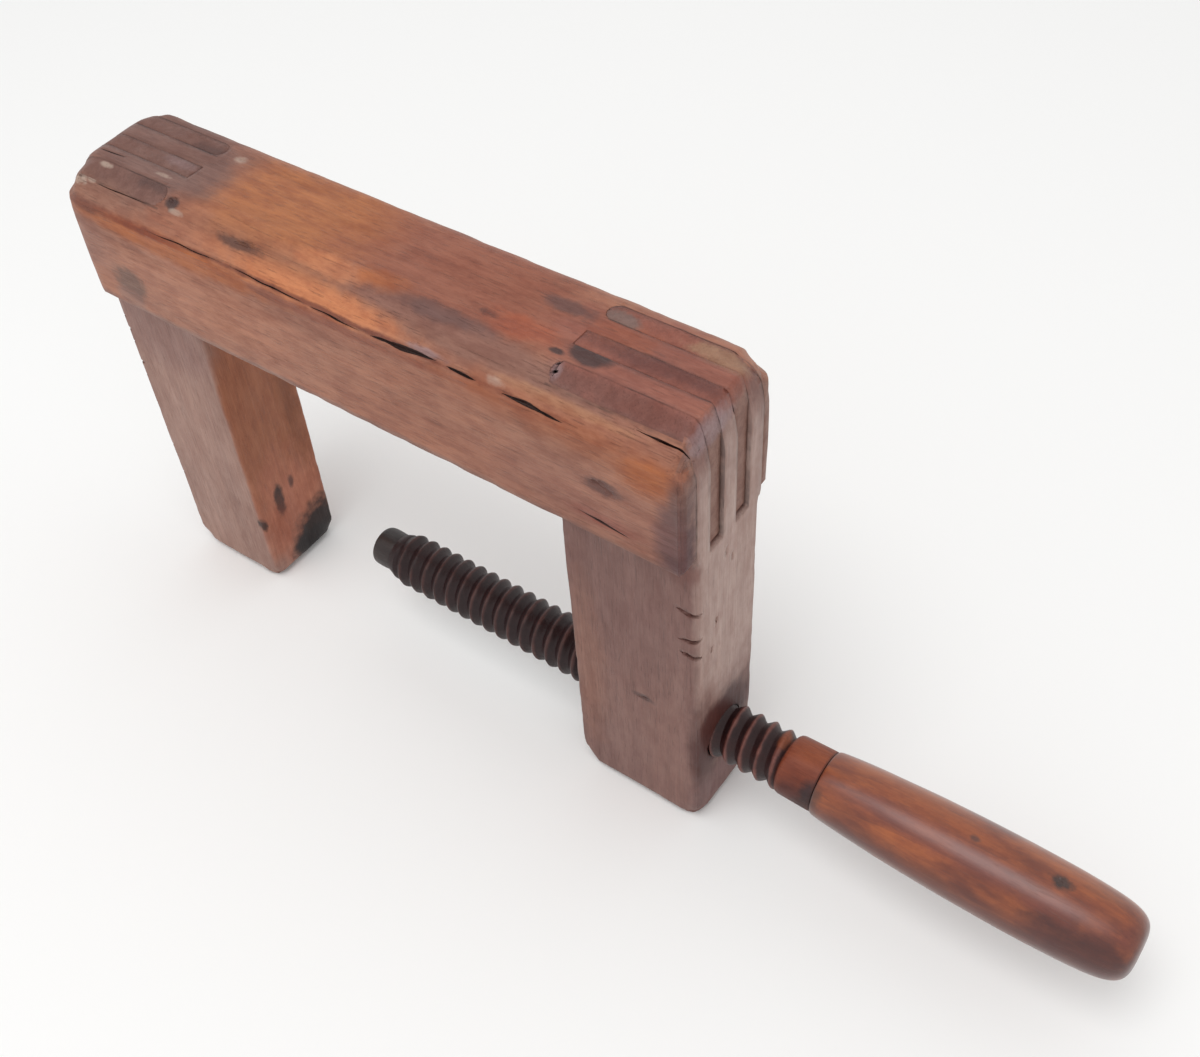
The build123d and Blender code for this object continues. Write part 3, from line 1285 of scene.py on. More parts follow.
@dataclass
class Screw:
    """The threaded shank with its collar and the tenon inside the handle.

    Args:
        thread: The thread's form.
        finish: The wood's finish.
        faces_round: Faces round the screw.
        core: Radius inside which no point is worn.
        last_slice: Length at the thread's end that stays true, for the collar to meet.
        uneven: The wear all over the thread.
        chips: The chips in the crests.
        end_wear: Depth of the further wear on the crests at the screw's end.
        worn_length: Length over which that wear dies away.
        crest_wear_and_highlight_power: How narrow the lighter band on the crests is, which is rubbed wood
            with a painted highlight.
        sharp: Edges sharper than this, in degrees, stay sharp.
        collar: Places and radii of the collar and the tenon, from inside the shank onwards.
    """

    thread: Thread
    finish: WoodFinish
    faces_round: int = 80
    core: float = 2.0
    last_slice: float = 0.05
    uneven: Unevenness = Unevenness(0.16, 7.0, 3.0)
    chips: Unevenness = Unevenness(0.5, 5.0, 9.0, 0.25)
    end_wear: float = 0.3
    worn_length: float = 120.0
    crest_wear_and_highlight_power: float = 2.5
    sharp: float = 38.0
    collar: tuple[Pair, ...] = (
        (109.2, 0.0),
        (109.2, 10.6),
        (110.6, 13.2),
        (111.2, 14.2),
        (111.9, 14.9),
        (113.2, 15.3),
        (117.0, 15.4),
        (124.0, 15.55),
        (128.6, 15.65),
        (130.2, 15.6),
        (130.8, 15.2),
        (130.9, 14.6),
        (130.9, 9.0),
        (175.4, 9.0),
        (175.9, 8.5),
        (175.9, 0.0),
    )

    def shank(self) -> bpy.types.Object:
        """Wind one turn's outline into the whole thread, and cut it square at both ends.

        Returns:
            The closed shank, without the collar.
        """
        thread = self.thread
        start_x, end_x = SCREW_LOW.x, thread.end
        turns = math.ceil((end_x - start_x) / thread.pitch) + 1
        outline = thread.outline(thread.end - turns * thread.pitch)
        shank = Bench.start("shank", outline, 0.0)
        Bench.modify(
            shank,
            "SCREW",
            axis="X",
            angle=math.tau,
            steps=self.faces_round,
            render_steps=self.faces_round,
            iterations=turns + 1,
            screw_offset=thread.pitch * MM,
            use_merge_vertices=True,
            merge_threshold=0.001 * MM,
        )
        bpy.ops.object.mode_set(mode="EDIT")
        for cut, inner in ((start_x, True), (end_x, False)):
            bpy.ops.mesh.select_all(action="SELECT")
            bpy.ops.mesh.bisect(
                plane_co=(cut * MM, 0.0, 0.0),
                plane_no=(1.0, 0.0, 0.0),
                use_fill=True,
                clear_inner=inner,
                clear_outer=not inner,
            )
        bpy.ops.mesh.select_all(action="SELECT")
        bpy.ops.transform.translate(value=(0.0, 0.0, AXIS_HEIGHT * MM))
        bpy.ops.object.mode_set(mode="OBJECT")
        Bench.close_up(shank)
        return shank

    def worn(self, place: Vector, _: Vector) -> Vector:
        """Nibble at the crests, and fade the first turns in.

        Args:
            place: Where the point is.

        Returns:
            Where the point is after the wear.
        """
        away = Vector((0.0, place.y, place.z - AXIS_HEIGHT))
        radius = away.length
        if radius < self.core or place.x > self.thread.end - self.last_slice:
            return place
        thread = self.thread
        from_start = place.x - SCREW_LOW.x
        growth = (thread.crest - thread.lead_in_radius) / thread.lead_in
        faded = thread.lead_in_radius + growth * from_start
        on_crest = max(0.0, thread.fullness(radius))
        nibble = self.uneven.sunk(place) + on_crest * self.chips.dented(place)
        nibble += self.end_wear * on_crest * max(0.0, 1 - from_start / self.worn_length)
        return Vector((place.x, 0.0, AXIS_HEIGHT)) + away / radius * min(radius - nibble, faded)

    def crest_wear_and_highlight(self, place: Vector) -> float:
        """Tell how near a point is to a crest, from 0 in the groove to 1, narrowed to the crests' band of
        rubbed wood and painted highlight.
        """
        away = math.hypot(place.y, place.z - AXIS_HEIGHT)
        return min(max(self.thread.fullness(away), 0.0), 1.0) ** self.crest_wear_and_highlight_power

    def build(self) -> bpy.types.Object:
        """Wind the thread, wear it, and set the collar and the tenon on its end.

        Returns:
            The finished piece.
        """
        piece = self.shank()
        Bench.move_points(piece, self.worn)
        Bench.combine(piece, [Bench.lathe("collar", self.collar, self.faces_round)], "UNION")
        piece.name = "worn_screw"
        piece.data.materials.clear()
        piece.data.materials.append(self.finish.material())
        # The crests' lighter band is rubbed wood and also a painted highlight.
        Bench.mark(piece, "arris", self.crest_wear_and_highlight)
        return Bench.finish(piece, "screw", "screw", "screw_wood", self.sharp)


@dataclass
class TurnedPiece:
    """A plain turned piece: the handle or the screw's nose.

    Args:
        node: The node that it stands for.
        body: The body that it rides on.
        slot: The record's material slot.
        finish: The wood's finish.
        start: Where its outline starts along X.
        outline: Distances from the start and radii, from the axis back to the axis.
        nicks: Dents in it.
        faces_round: Faces round it before it is smoothed.
        levels: Levels of smoothing.
        uneven: The slow unevenness of its surface.
        sharp: Edges sharper than this, in degrees, stay sharp.
    """

    node: str
    body: str
    slot: str
    finish: WoodFinish
    start: float
    outline: tuple[Pair, ...]
    nicks: tuple[Nick, ...] = ()
    faces_round: int = 32
    levels: int = 2
    uneven: Unevenness = Unevenness(0.15, 16.0, 2.0)
    sharp: float = 50.0

    def build(self) -> bpy.types.Object:
        """Turn the piece, smooth it and wear it.

        Returns:
            The finished piece.
        """
        outline = [(self.start + distance, radius) for distance, radius in self.outline]
        piece = Bench.lathe(f"worn_{self.node}", outline, self.faces_round)
        Bench.modify(piece, "SUBSURF", levels=self.levels, render_levels=self.levels)

        Bench.move_points(piece, lambda place, normal: place - normal * self.uneven.sunk(place))
        piece.data.materials.append(self.finish.material())
        Bench.combine(piece, [nick.tool() for nick in self.nicks], "DIFFERENCE")
        return Bench.finish(piece, self.node, self.body, self.slot, self.sharp)


# The wear of this clamp

SIDE = BEAM_HIGH.y
JAW_SIDE = FIXED_HIGH.y
TOP = BEAM_HIGH.z
UNDER = BEAM_LOW.z
LEFT = BEAM_LOW.x
RIGHT = BEAM_HIGH.x
BELOW_BEAM = (-10.0, UNDER + 1)
ABOVE_JOINT = (UNDER - 8, 1000.0)
NEAR_THE_TOP = (TOP - 62, 1000.0)
AT_THE_TOP = (TOP - 22, 1000.0)
AT_THE_FOOT = (-20.0, 11.0)
FOOT_CORNER = 13.0
FOOT_SIDE = 5.0


def jaw_edges(
    inner: float, outer: float, round_in: float, round_out: float, foot_in: Pair, foot_out: Pair
) -> list[WornEdge]:
    """List the worn edges of one jaw below the beam.

    Args:
        inner: Place of its inner face along X.
        outer: Place of its outer face along X.
        round_in: Rounding of the inner upright edges.
        round_out: Rounding of the outer upright edges.
        foot_in: Width and height of the wear on the inner edge of its foot.
        foot_out: Width and height of the wear on the outer edge of its foot.

    Returns:
        Its four upright edges, their rounder feet, and the four edges of its foot.
    """
    edges = []
    inwards = 1 if outer < inner else -1
    for side in (-1, 1):
        for place, size, sign in ((inner, round_in, -inwards), (outer, round_out, inwards)):
            reach = (sign * size, -side * size)
            edges.append(WornEdge("XY", (place, side * JAW_SIDE), reach, 1.8, BELOW_BEAM))
            broad = (sign * FOOT_CORNER, -side * FOOT_CORNER)
            edges.append(WornEdge("XY", (place, side * JAW_SIDE), broad, 1.9, AT_THE_FOOT, 9.0))
        edges.append(WornEdge("YZ", (side * JAW_SIDE, 0.0), (-side * FOOT_SIDE, FOOT_SIDE), 1.8))
    edges.append(WornEdge("XZ", (inner, 0.0), (-inwards * foot_in[0], foot_in[1]), 1.7))
    edges.append(WornEdge("XZ", (outer, 0.0), (inwards * foot_out[0], foot_out[1]), 1.8))
    return edges


FRAME_WEAR = FrameWear(
    edges=(
        WornEdge("XY", (LEFT, SIDE), (33.0, -31.0), 2.0, NEAR_THE_TOP, 56.0),
        WornEdge("XY", (LEFT, -SIDE), (18.0, 17.0), 2.0, NEAR_THE_TOP, 56.0),
        WornEdge("XY", (RIGHT, SIDE), (-10.0, -12.0), 2.0, NEAR_THE_TOP, 56.0),
        WornEdge("XY", (LEFT, SIDE), (16.0, -16.0), 2.0, ABOVE_JOINT),
        WornEdge("XY", (RIGHT, SIDE), (-7.0, -9.0), 1.9, ABOVE_JOINT),
        WornEdge("YZ", (-SIDE, TOP), (20.0, -15.0), 1.22, sway=0.08),
        WornEdge("YZ", (SIDE, TOP), (-10.0, -9.0), 1.9),
        WornEdge("XZ", (LEFT, TOP), (12.0, -11.0), 1.8),
        WornEdge("XZ", (RIGHT, TOP), (-6.0, -24.0), 1.3),
        WornEdge("XY", (LEFT, -SIDE), (13.0, 12.0), 1.8, ABOVE_JOINT),
        WornEdge("XY", (RIGHT, -SIDE), (-3.0, 3.0), 1.6, ABOVE_JOINT),
        WornEdge("XY", (RIGHT, -SIDE), (-9.0, 9.0), 1.9, AT_THE_TOP, 14.0),
        WornEdge("YZ", (-SIDE, UNDER), (3.0, 3.0), 1.8),
        WornEdge("YZ", (SIDE, UNDER), (-3.0, 3.0), 1.8),
        WornEdge("XZ", (LEFT, UNDER), (15.0, 12.0), 1.8, (-1000.0, -JAW_SIDE + 1)),
        WornEdge("XZ", (LEFT, UNDER), (12.0, 10.0), 1.8, (JAW_SIDE - 1, 1000.0)),
        WornEdge("XZ", (RIGHT, UNDER), (-4.0, 4.0), 1.8, (-1000.0, -JAW_SIDE + 1)),
        WornEdge("XZ", (RIGHT, UNDER), (-4.0, 6.0), 1.8, (JAW_SIDE - 1, 1000.0)),
        *jaw_edges(FIXED_HIGH.x, LEFT, 2.5, 4.0, (7.0, 7.0), (14.0, 18.0)),
        *jaw_edges(THREADED_LOW.x, RIGHT, 3.0, 3.0, (13.0, 27.0), (6.0, 5.0)),
    ),
    corners=(
        WornCorner((LEFT, -SIDE, TOP), (21.0, 24.0, -16.0)),
        WornCorner((LEFT, SIDE, TOP), (16.0, -16.0, -9.0)),
        WornCorner((RIGHT, SIDE, TOP), (-16.0, -18.0, -13.0)),
        WornCorner((RIGHT, -SIDE, TOP), (-11.0, 23.0, -20.0)),
    ),
)

# The woods of this clamp

DARK_STAIN = paint(62, 42, 42)
PURPLE_GREY = paint(104, 74, 70)
MAUVE = paint(128, 94, 84)
OCHRE = paint(174, 104, 54)
ORANGE = paint(176, 98, 46)
RUST = paint(134, 62, 34)
RED_BROWN = paint(104, 46, 34)
PALE_CHIP = paint(196, 176, 160)
FIBROUS = paint(160, 124, 98)
# Painted sheen: a pale grey-lilac that stands for the sky's reflection on worn top edges and corners.
SILVERY_PAINTED_SHEEN = paint(158, 138, 142)

END_STAINS = (
    StainAndPaintedLight((-246.0, 3.0, 269.0), (48.0, 36.0, 12.0), paint(120, 84, 74), 0.95, 0.3, 0.3, 60.0),
    StainAndPaintedLight((-262.0, -30.0, 260.0), (30.0, 8.0, 8.0), paint(150, 110, 92), 0.5, 0.5, 0.5, 120.0),
    StainAndPaintedLight((-240.0, -6.0, 269.0), (24.0, 8.0, 8.0), paint(126, 92, 82), 0.6, 0.6, 0.6, 150.0),
    StainAndPaintedLight((38.0, 2.0, 269.0), (44.0, 27.0, 9.0), paint(150, 90, 74), 0.92, 0.3, 0.3, 70.0),
    StainAndPaintedLight((46.0, -19.0, 267.0), (34.0, 6.0, 6.0), paint(128, 78, 68), 0.8, 0.5, 0.5, 120.0),
    StainAndPaintedLight((44.0, 0.0, 269.0), (26.0, 6.0, 5.0), paint(122, 70, 60), 0.6, 0.6, 0.5, 150.0),
    StainAndPaintedLight((18.0, 9.0, 269.0), (14.0, 8.0, 5.0), paint(160, 90, 62), 0.6, 0.6, 0.5, 120.0),
)

BEAM_WOOD = WoodFinish(
    name="Beam wood",
    fibre=Fibre.LENGTHWISE,
    pith=(-100.0, 55.0, 190.0),
    light=paint(174, 120, 94),
    dark=paint(150, 96, 74),
    bloom=paint(162, 98, 70),
    haze=paint(140, 104, 94),
    end_grain=paint(140, 110, 100),
    rubbed=paint(154, 110, 88),
    pore=paint(86, 54, 44),
    coat=0.12,
    coat_roughness=0.35,
    ring_scale=26.0,
    ring_share=0.35,
    tone_scale=34.0,
    jointed=True,
    stains_and_painted_light=(
        StainAndPaintedLight((-152.0, 4.0, 269.0), (56.0, 34.0, 12.0), OCHRE, 0.85, 0.3, 0.3, 60.0),
        StainAndPaintedLight((-60.0, 6.0, 269.0), (60.0, 40.0, 8.0), paint(146, 82, 60), 0.75, 0.35, 0.4, 60.0),
        *END_STAINS,
        StainAndPaintedLight((-60.0, -23.0, 265.0), (110.0, 8.0, 7.0), MAUVE, 0.65, 0.35, 0.4, 70.0),
        StainAndPaintedLight((-125.0, -29.0, 259.5), (52.0, 7.0, 6.0), paint(212, 134, 86), 0.85, 0.35, 0.5, 80.0),
        StainAndPaintedLight((-192.0, -35.0, 228.0), (56.0, 8.0, 18.0), paint(190, 128, 98), 0.5, 0.3, 0.5, 60.0),
        StainAndPaintedLight((-160.0, -22.0, 265.0), (50.0, 9.0, 6.0), paint(168, 108, 74), 0.6, 0.4, 0.5, 60.0),
        StainAndPaintedLight((-118.0, -18.0, 267.5), (24.0, 5.0, 4.0), paint(208, 134, 90), 0.65, 0.5, 0.5, 100.0),
        StainAndPaintedLight((-54.0, -17.0, 268.0), (24.0, 4.0, 4.0), PURPLE_GREY, 0.75, 0.6, 0.5, 120.0),
        StainAndPaintedLight((-90.0, -14.0, 269.0), (14.0, 5.0, 4.0), ORANGE, 0.7, 0.4, 0.5, 120.0),
        StainAndPaintedLight((-12.0, 13.0, 269.0), (12.0, 4.0, 4.0), PURPLE_GREY, 0.8, 0.6, 0.5, 150.0),
        StainAndPaintedLight((-37.0, -8.0, 269.0), (4.0, 2.0, 4.0), DARK_STAIN, 0.7, 0.6, 0.5, 300.0),
        StainAndPaintedLight((-20.0, -8.0, 269.0), (16.0, 6.0, 4.0), paint(166, 84, 52), 0.7, 0.5, 0.5, 120.0),
        StainAndPaintedLight((1.0, -12.0, 269.0), (3.5, 1.6, 4.0), DARK_STAIN, 0.9, 0.3, 0.4, 300.0),
        StainAndPaintedLight((-206.0, -35.0, 250.8), (66.0, 6.0, 6.0), ORANGE, 0.85, 0.3, 0.5, 90.0),
        StainAndPaintedLight((-262.0, -33.0, 254.5), (16.0, 6.0, 2.4), RED_BROWN, 0.6, 0.5, 0.6, 150.0),
        StainAndPaintedLight((-222.0, -34.0, 254.8), (26.0, 4.0, 1.6), RUST, 0.8, 0.6, 0.6, 150.0),
        StainAndPaintedLight((-110.0, -35.0, 252.0), (60.0, 6.0, 2.6), RUST, 0.65, 0.5, 0.5, 120.0),
        StainAndPaintedLight((-20.0, -34.5, 253.0), (50.0, 6.0, 2.0), paint(146, 78, 52), 0.55, 0.6, 0.6, 120.0),
        StainAndPaintedLight((-100.0, -33.0, 256.3), (120.0, 3.0, 0.9), RED_BROWN, 0.75, 0.7, 0.6, 110.0),
        StainAndPaintedLight((-167.0, -24.6, 263.6), (12.0, 2.2, 4.0), DARK_STAIN, 0.7, 0.5, 0.5, 180.0),
        StainAndPaintedLight((-213.0, -20.6, 266.0), (4.0, 3.0, 4.0), DARK_STAIN, 0.9, 0.4, 0.4, 300.0),
        StainAndPaintedLight((-208.0, -23.5, 265.0), (4.0, 1.2, 4.0), PALE_CHIP, 0.6, 0.4, 0.5, 300.0),
        StainAndPaintedLight((-207.5, 19.0, 269.0), (3.0, 2.2, 4.0), PALE_CHIP, 0.55, 0.4, 0.6, 300.0),
        StainAndPaintedLight((-272.0, -26.0, 261.5), (4.5, 2.2, 4.0), PALE_CHIP, 0.7, 0.7, 0.4, 300.0),
        StainAndPaintedLight((-265.0, -25.0, 263.0), (3.0, 1.0, 3.0), PALE_CHIP, 0.5, 0.6, 0.4, 300.0),
        StainAndPaintedLight((-230.0, -9.5, 269.0), (4.0, 1.2, 3.0), PALE_CHIP, 0.5, 0.5, 0.5, 300.0),
        # Painted sheen on the worn near edge.
        StainAndPaintedLight((-52.0, -31.7, 258.0), (10.0, 2.0, 1.2), SILVERY_PAINTED_SHEEN, 0.65, 0.5, 0.5, 200.0),
        StainAndPaintedLight((-17.0, -31.0, 258.6), (4.0, 2.0, 1.6), PALE_CHIP, 0.6, 0.5, 0.5, 300.0),
        StainAndPaintedLight((16.0, -29.0, 260.2), (32.0, 2.2, 2.2), paint(178, 128, 96), 0.7, 0.4, 0.5, 150.0),
        StainAndPaintedLight((14.0, -7.0, 269.0), (10.0, 6.0, 4.0), DARK_STAIN, 0.9, 0.22, 0.25, 200.0),
        StainAndPaintedLight((62.0, 19.5, 269.0), (15.0, 4.6, 5.0), FIBROUS, 0.85, 0.45, 0.4, 200.0),
        # Painted sheen at the near right top corner.
        StainAndPaintedLight((73.0, -11.0, 262.0), (3.5, 16.0, 6.0), SILVERY_PAINTED_SHEEN, 0.6, 0.5, 0.5, 200.0),
        StainAndPaintedLight((20.0, -34.0, 252.0), (56.0, 8.0, 8.0), paint(172, 98, 56), 0.45, 0.4, 0.6, 80.0),
        StainAndPaintedLight((58.0, -35.0, 246.0), (12.0, 8.0, 9.0), ORANGE, 0.75, 0.4, 0.5, 120.0),
        StainAndPaintedLight((37.0, -35.0, 230.5), (9.5, 8.0, 4.0), DARK_STAIN, 0.9, 0.4, 0.4, 200.0),
        StainAndPaintedLight((36.0, -35.0, 209.6), (12.5, 6.0, 1.5), RED_BROWN, 0.9, 0.4, 0.5, 200.0),
        StainAndPaintedLight((36.0, -35.0, 211.0), (17.0, 6.0, 4.0), paint(150, 78, 62), 0.6, 0.5, 0.6, 120.0),
        StainAndPaintedLight((71.0, -35.0, 216.0), (9.0, 10.0, 24.0), paint(90, 62, 66), 0.9, 0.35, 0.4, 120.0),
        StainAndPaintedLight((73.0, -35.0, 240.0), (5.0, 10.0, 14.0), PURPLE_GREY, 0.7, 0.4, 0.5, 120.0),
        StainAndPaintedLight((-247.0, -35.0, 216.0), (10.0, 8.0, 9.0), paint(112, 84, 72), 0.8, 0.4, 0.4, 150.0),
        StainAndPaintedLight((-251.0, -35.0, 205.0), (9.0, 8.0, 6.0), paint(150, 112, 98), 0.7, 0.4, 0.5, 150.0),
        StainAndPaintedLight((-270.0, -35.0, 232.0), (14.0, 8.0, 16.0), paint(148, 104, 90), 0.5, 0.4, 0.5, 80.0),
        StainAndPaintedLight((-100.0, -35.0, 199.0), (180.0, 8.0, 3.0), paint(134, 104, 96), 0.55, 0.5, 0.6, 80.0),
        StainAndPaintedLight((30.0, -35.0, 220.0), (50.0, 6.0, 18.0), paint(140, 92, 80), 0.45, 0.4, 0.5, 60.0),
    ),
)


FIXED_JAW_WOOD = WoodFinish(
    name="Fixed jaw wood",
    fibre=Fibre.UPRIGHT,
    pith=(-200.0, 60.0, 100.0),
    light=paint(172, 136, 122),
    dark=paint(146, 112, 100),
    bloom=paint(160, 120, 104),
    haze=paint(150, 124, 116),
    end_grain=paint(124, 84, 74),
    rubbed=paint(150, 118, 106),
    pore=paint(84, 58, 52),
    ring_scale=30.0,
    tone_scale=36.0,
    pore_share=0.15,
    mottle_share=0.35,
    coat=0.06,
    jointed=True,
    stains_and_painted_light=(
        StainAndPaintedLight((-218.0, 0.0, 110.0), (4.0, 40.0, 100.0), paint(160, 96, 62), 0.85, 0.25, 0.3, 60.0),
        StainAndPaintedLight((-218.0, 0.0, 40.0), (4.0, 30.0, 40.0), paint(184, 118, 94), 0.8, 0.4, 0.6, 60.0),
        StainAndPaintedLight((-218.0, 16.0, 130.0), (4.0, 6.0, 60.0), paint(124, 74, 48), 0.5, 0.4, 0.5, 90.0),
        StainAndPaintedLight((-218.0, 14.0, 12.0), (12.0, 20.0, 22.0), SOOT, 0.97, 0.35, 0.3, 90.0),
        StainAndPaintedLight((-218.0, 4.0, 10.0), (10.0, 14.0, 9.0), SOOT, 0.95, 0.35, 0.3, 120.0),
        StainAndPaintedLight((-218.0, -9.0, 56.0), (6.0, 3.4, 11.0), SOOT, 0.9, 0.5, 0.4, 150.0),
        StainAndPaintedLight((-218.0, -24.6, 47.0), (5.0, 3.0, 5.0), SOOT, 0.85, 0.5, 0.4, 200.0),
        StainAndPaintedLight((-218.0, 2.0, 62.0), (5.0, 2.0, 4.0), DARK_STAIN, 0.7, 0.5, 0.5, 250.0),
        StainAndPaintedLight((-218.0, -10.0, 38.0), (5.0, 8.0, 16.0), RUST, 0.45, 0.5, 0.6, 120.0),
        StainAndPaintedLight((-252.0, -25.0, 176.0), (40.0, 4.0, 24.0), paint(142, 104, 96), 0.6, 0.4, 0.5, 60.0),
        *END_STAINS,
        StainAndPaintedLight((-261.0, -16.8, 268.0), (4.0, 1.2, 3.0), PALE_CHIP, 0.55, 0.6, 0.5, 300.0),
        StainAndPaintedLight((-230.0, -17.0, 268.5), (12.0, 3.0, 3.0), DARK_STAIN, 0.5, 0.6, 0.5, 150.0),
        # Painted sheen on the top.
        StainAndPaintedLight((-230.0, 2.0, 269.0), (10.0, 3.0, 3.0), SILVERY_PAINTED_SHEEN, 0.3, 0.6, 0.6, 150.0),
        StainAndPaintedLight((-225.0, 16.0, 269.0), (12.0, 5.0, 3.0), DARK_STAIN, 0.5, 0.6, 0.5, 120.0),
    ),
)

THREADED_JAW_WOOD = WoodFinish(
    name="Threaded jaw wood",
    fibre=Fibre.UPRIGHT,
    pith=(50.0, 70.0, 100.0),
    light=paint(144, 108, 98),
    dark=paint(112, 80, 74),
    bloom=paint(128, 88, 78),
    haze=paint(124, 98, 96),
    end_grain=paint(116, 78, 70),
    rubbed=paint(116, 86, 80),
    pore=paint(68, 46, 44),
    ring_scale=28.0,
    tone_scale=36.0,
    pore_share=0.15,
    mottle_share=0.35,
    coat=0.06,
    jointed=True,
    stains_and_painted_light=(
        # Painted sheen: the upper outer face is painted pale grey-pink for the reflection of the bright sky
        # on it.
        StainAndPaintedLight((76.0, 0.0, 170.0), (4.0, 40.0, 90.0), paint(186, 160, 150), 0.85, 0.3, 0.4, 60.0),
        StainAndPaintedLight((76.0, -3.0, 62.0), (8.0, 25.0, 25.0), paint(72, 32, 28), 0.95, 0.25, 0.3, 90.0),
        StainAndPaintedLight((76.0, -17.0, 56.0), (7.0, 11.0, 32.0), paint(88, 48, 42), 0.85, 0.4, 0.5, 120.0),
        StainAndPaintedLight((76.0, 0.0, 16.0), (7.0, 30.0, 16.0), paint(130, 98, 96), 0.7, 0.4, 0.5, 90.0),
        StainAndPaintedLight((40.0, -25.0, 150.0), (44.0, 4.0, 50.0), paint(122, 88, 82), 0.6, 0.4, 0.6, 50.0),
        StainAndPaintedLight((12.0, -25.0, 90.0), (10.0, 4.0, 60.0), paint(146, 100, 80), 0.5, 0.4, 0.6, 60.0),
        StainAndPaintedLight((45.0, -25.0, 84.0), (6.0, 4.0, 2.0), DARK_STAIN, 0.6, 0.5, 0.5, 250.0),
        StainAndPaintedLight((68.0, -25.0, 190.0), (10.0, 4.0, 8.0), paint(118, 70, 62), 0.6, 0.4, 0.5, 120.0),
        *END_STAINS,
        StainAndPaintedLight((12.0, 17.0, 269.0), (8.0, 5.0, 4.0), paint(112, 108, 104), 0.6, 0.35, 0.3, 250.0),
        StainAndPaintedLight((40.0, 2.0, 269.0), (40.0, 4.5, 4.0), paint(96, 56, 52), 0.6, 0.5, 0.5, 120.0),
        StainAndPaintedLight((36.0, -20.0, 267.0), (26.0, 4.0, 4.0), paint(118, 74, 64), 0.6, 0.5, 0.5, 120.0),
        StainAndPaintedLight((60.0, 19.5, 269.0), (16.0, 4.8, 5.0), FIBROUS, 0.8, 0.45, 0.4, 200.0),
        # Painted sheen at the near right top corner and on the top.
        StainAndPaintedLight((73.0, -11.0, 262.0), (3.5, 16.0, 6.0), SILVERY_PAINTED_SHEEN, 0.6, 0.5, 0.5, 200.0),
        StainAndPaintedLight((6.0, -20.0, 267.0), (2.2, 5.0, 3.0), SILVERY_PAINTED_SHEEN, 0.5, 0.4, 0.5, 250.0),
    ),
)

CRACK_WOOD = WoodFinish(
    name="Crack walls",
    fibre=Fibre.LENGTHWISE,
    pith=(0.0, 40.0, 190.0),
    light=paint(58, 34, 28),
    dark=paint(36, 24, 22),
    bloom=paint(66, 34, 26),
    haze=paint(40, 30, 30),
    end_grain=paint(40, 28, 26),
    rubbed=paint(60, 38, 32),
    pore=paint(20, 16, 16),
    coat=0.0,
)

SCREW_WOOD = WoodFinish(
    name="Screw wood",
    fibre=Fibre.LENGTHWISE,
    pith=(0.0, 0.0, 53.0),
    light=paint(46, 24, 24),
    dark=paint(32, 19, 21),
    bloom=paint(60, 24, 21),
    haze=paint(40, 27, 29),
    end_grain=paint(46, 30, 30),
    # On the screw this colour is rubbed wood and also a painted highlight along the crests.
    rubbed=paint(122, 76, 68),
    pore=paint(22, 15, 17),
    roughness=(0.42, 0.6),
    coat=0.0,
    ring_scale=90.0,
    tone_scale=60.0,
    end_share=0.15,
    relief=0.12,
    stains_and_painted_light=(
        StainAndPaintedLight((-70.0, 0.0, 53.0), (110.0, 40.0, 40.0), paint(38, 19, 21), 0.62, 0.2, 0.3, 60.0),
        StainAndPaintedLight((122.0, 0.0, 53.0), (11.4, 40.0, 40.0), paint(132, 64, 38), 0.92, 0.08, 0.1, 120.0),
        StainAndPaintedLight((107.5, 6.0, 68.0), (3.0, 10.0, 5.0), paint(140, 74, 42), 0.8, 0.3, 0.4, 150.0),
        StainAndPaintedLight((122.0, 4.0, 67.0), (9.0, 8.0, 6.0), paint(150, 78, 42), 0.7, 0.4, 0.5, 150.0),
        StainAndPaintedLight((120.0, -14.0, 48.0), (9.0, 8.0, 14.0), paint(82, 42, 38), 0.85, 0.3, 0.5, 120.0),
        StainAndPaintedLight((129.0, -13.0, 59.0), (3.6, 6.0, 7.0), paint(44, 38, 44), 0.85, 0.5, 0.6, 200.0),
        StainAndPaintedLight((128.0, -13.0, 47.0), (5.0, 8.0, 9.0), SOOT, 0.6, 0.5, 0.7, 150.0),
        StainAndPaintedLight((131.0, 0.0, 53.0), (0.9, 40.0, 40.0), DARK_STAIN, 0.5, 0.3, 0.4, 150.0),
    ),
)

NOSE_WOOD = WoodFinish(
    name="Nose wood",
    fibre=Fibre.LENGTHWISE,
    pith=(0.0, 4.0, 55.0),
    light=paint(54, 46, 44),
    dark=paint(34, 30, 32),
    bloom=paint(58, 42, 38),
    haze=paint(48, 44, 46),
    end_grain=paint(42, 38, 40),
    rubbed=paint(70, 58, 52),
    pore=paint(20, 17, 18),
    roughness=(0.4, 0.6),
    ring_scale=90.0,
    tone_scale=90.0,
    relief=0.2,
)

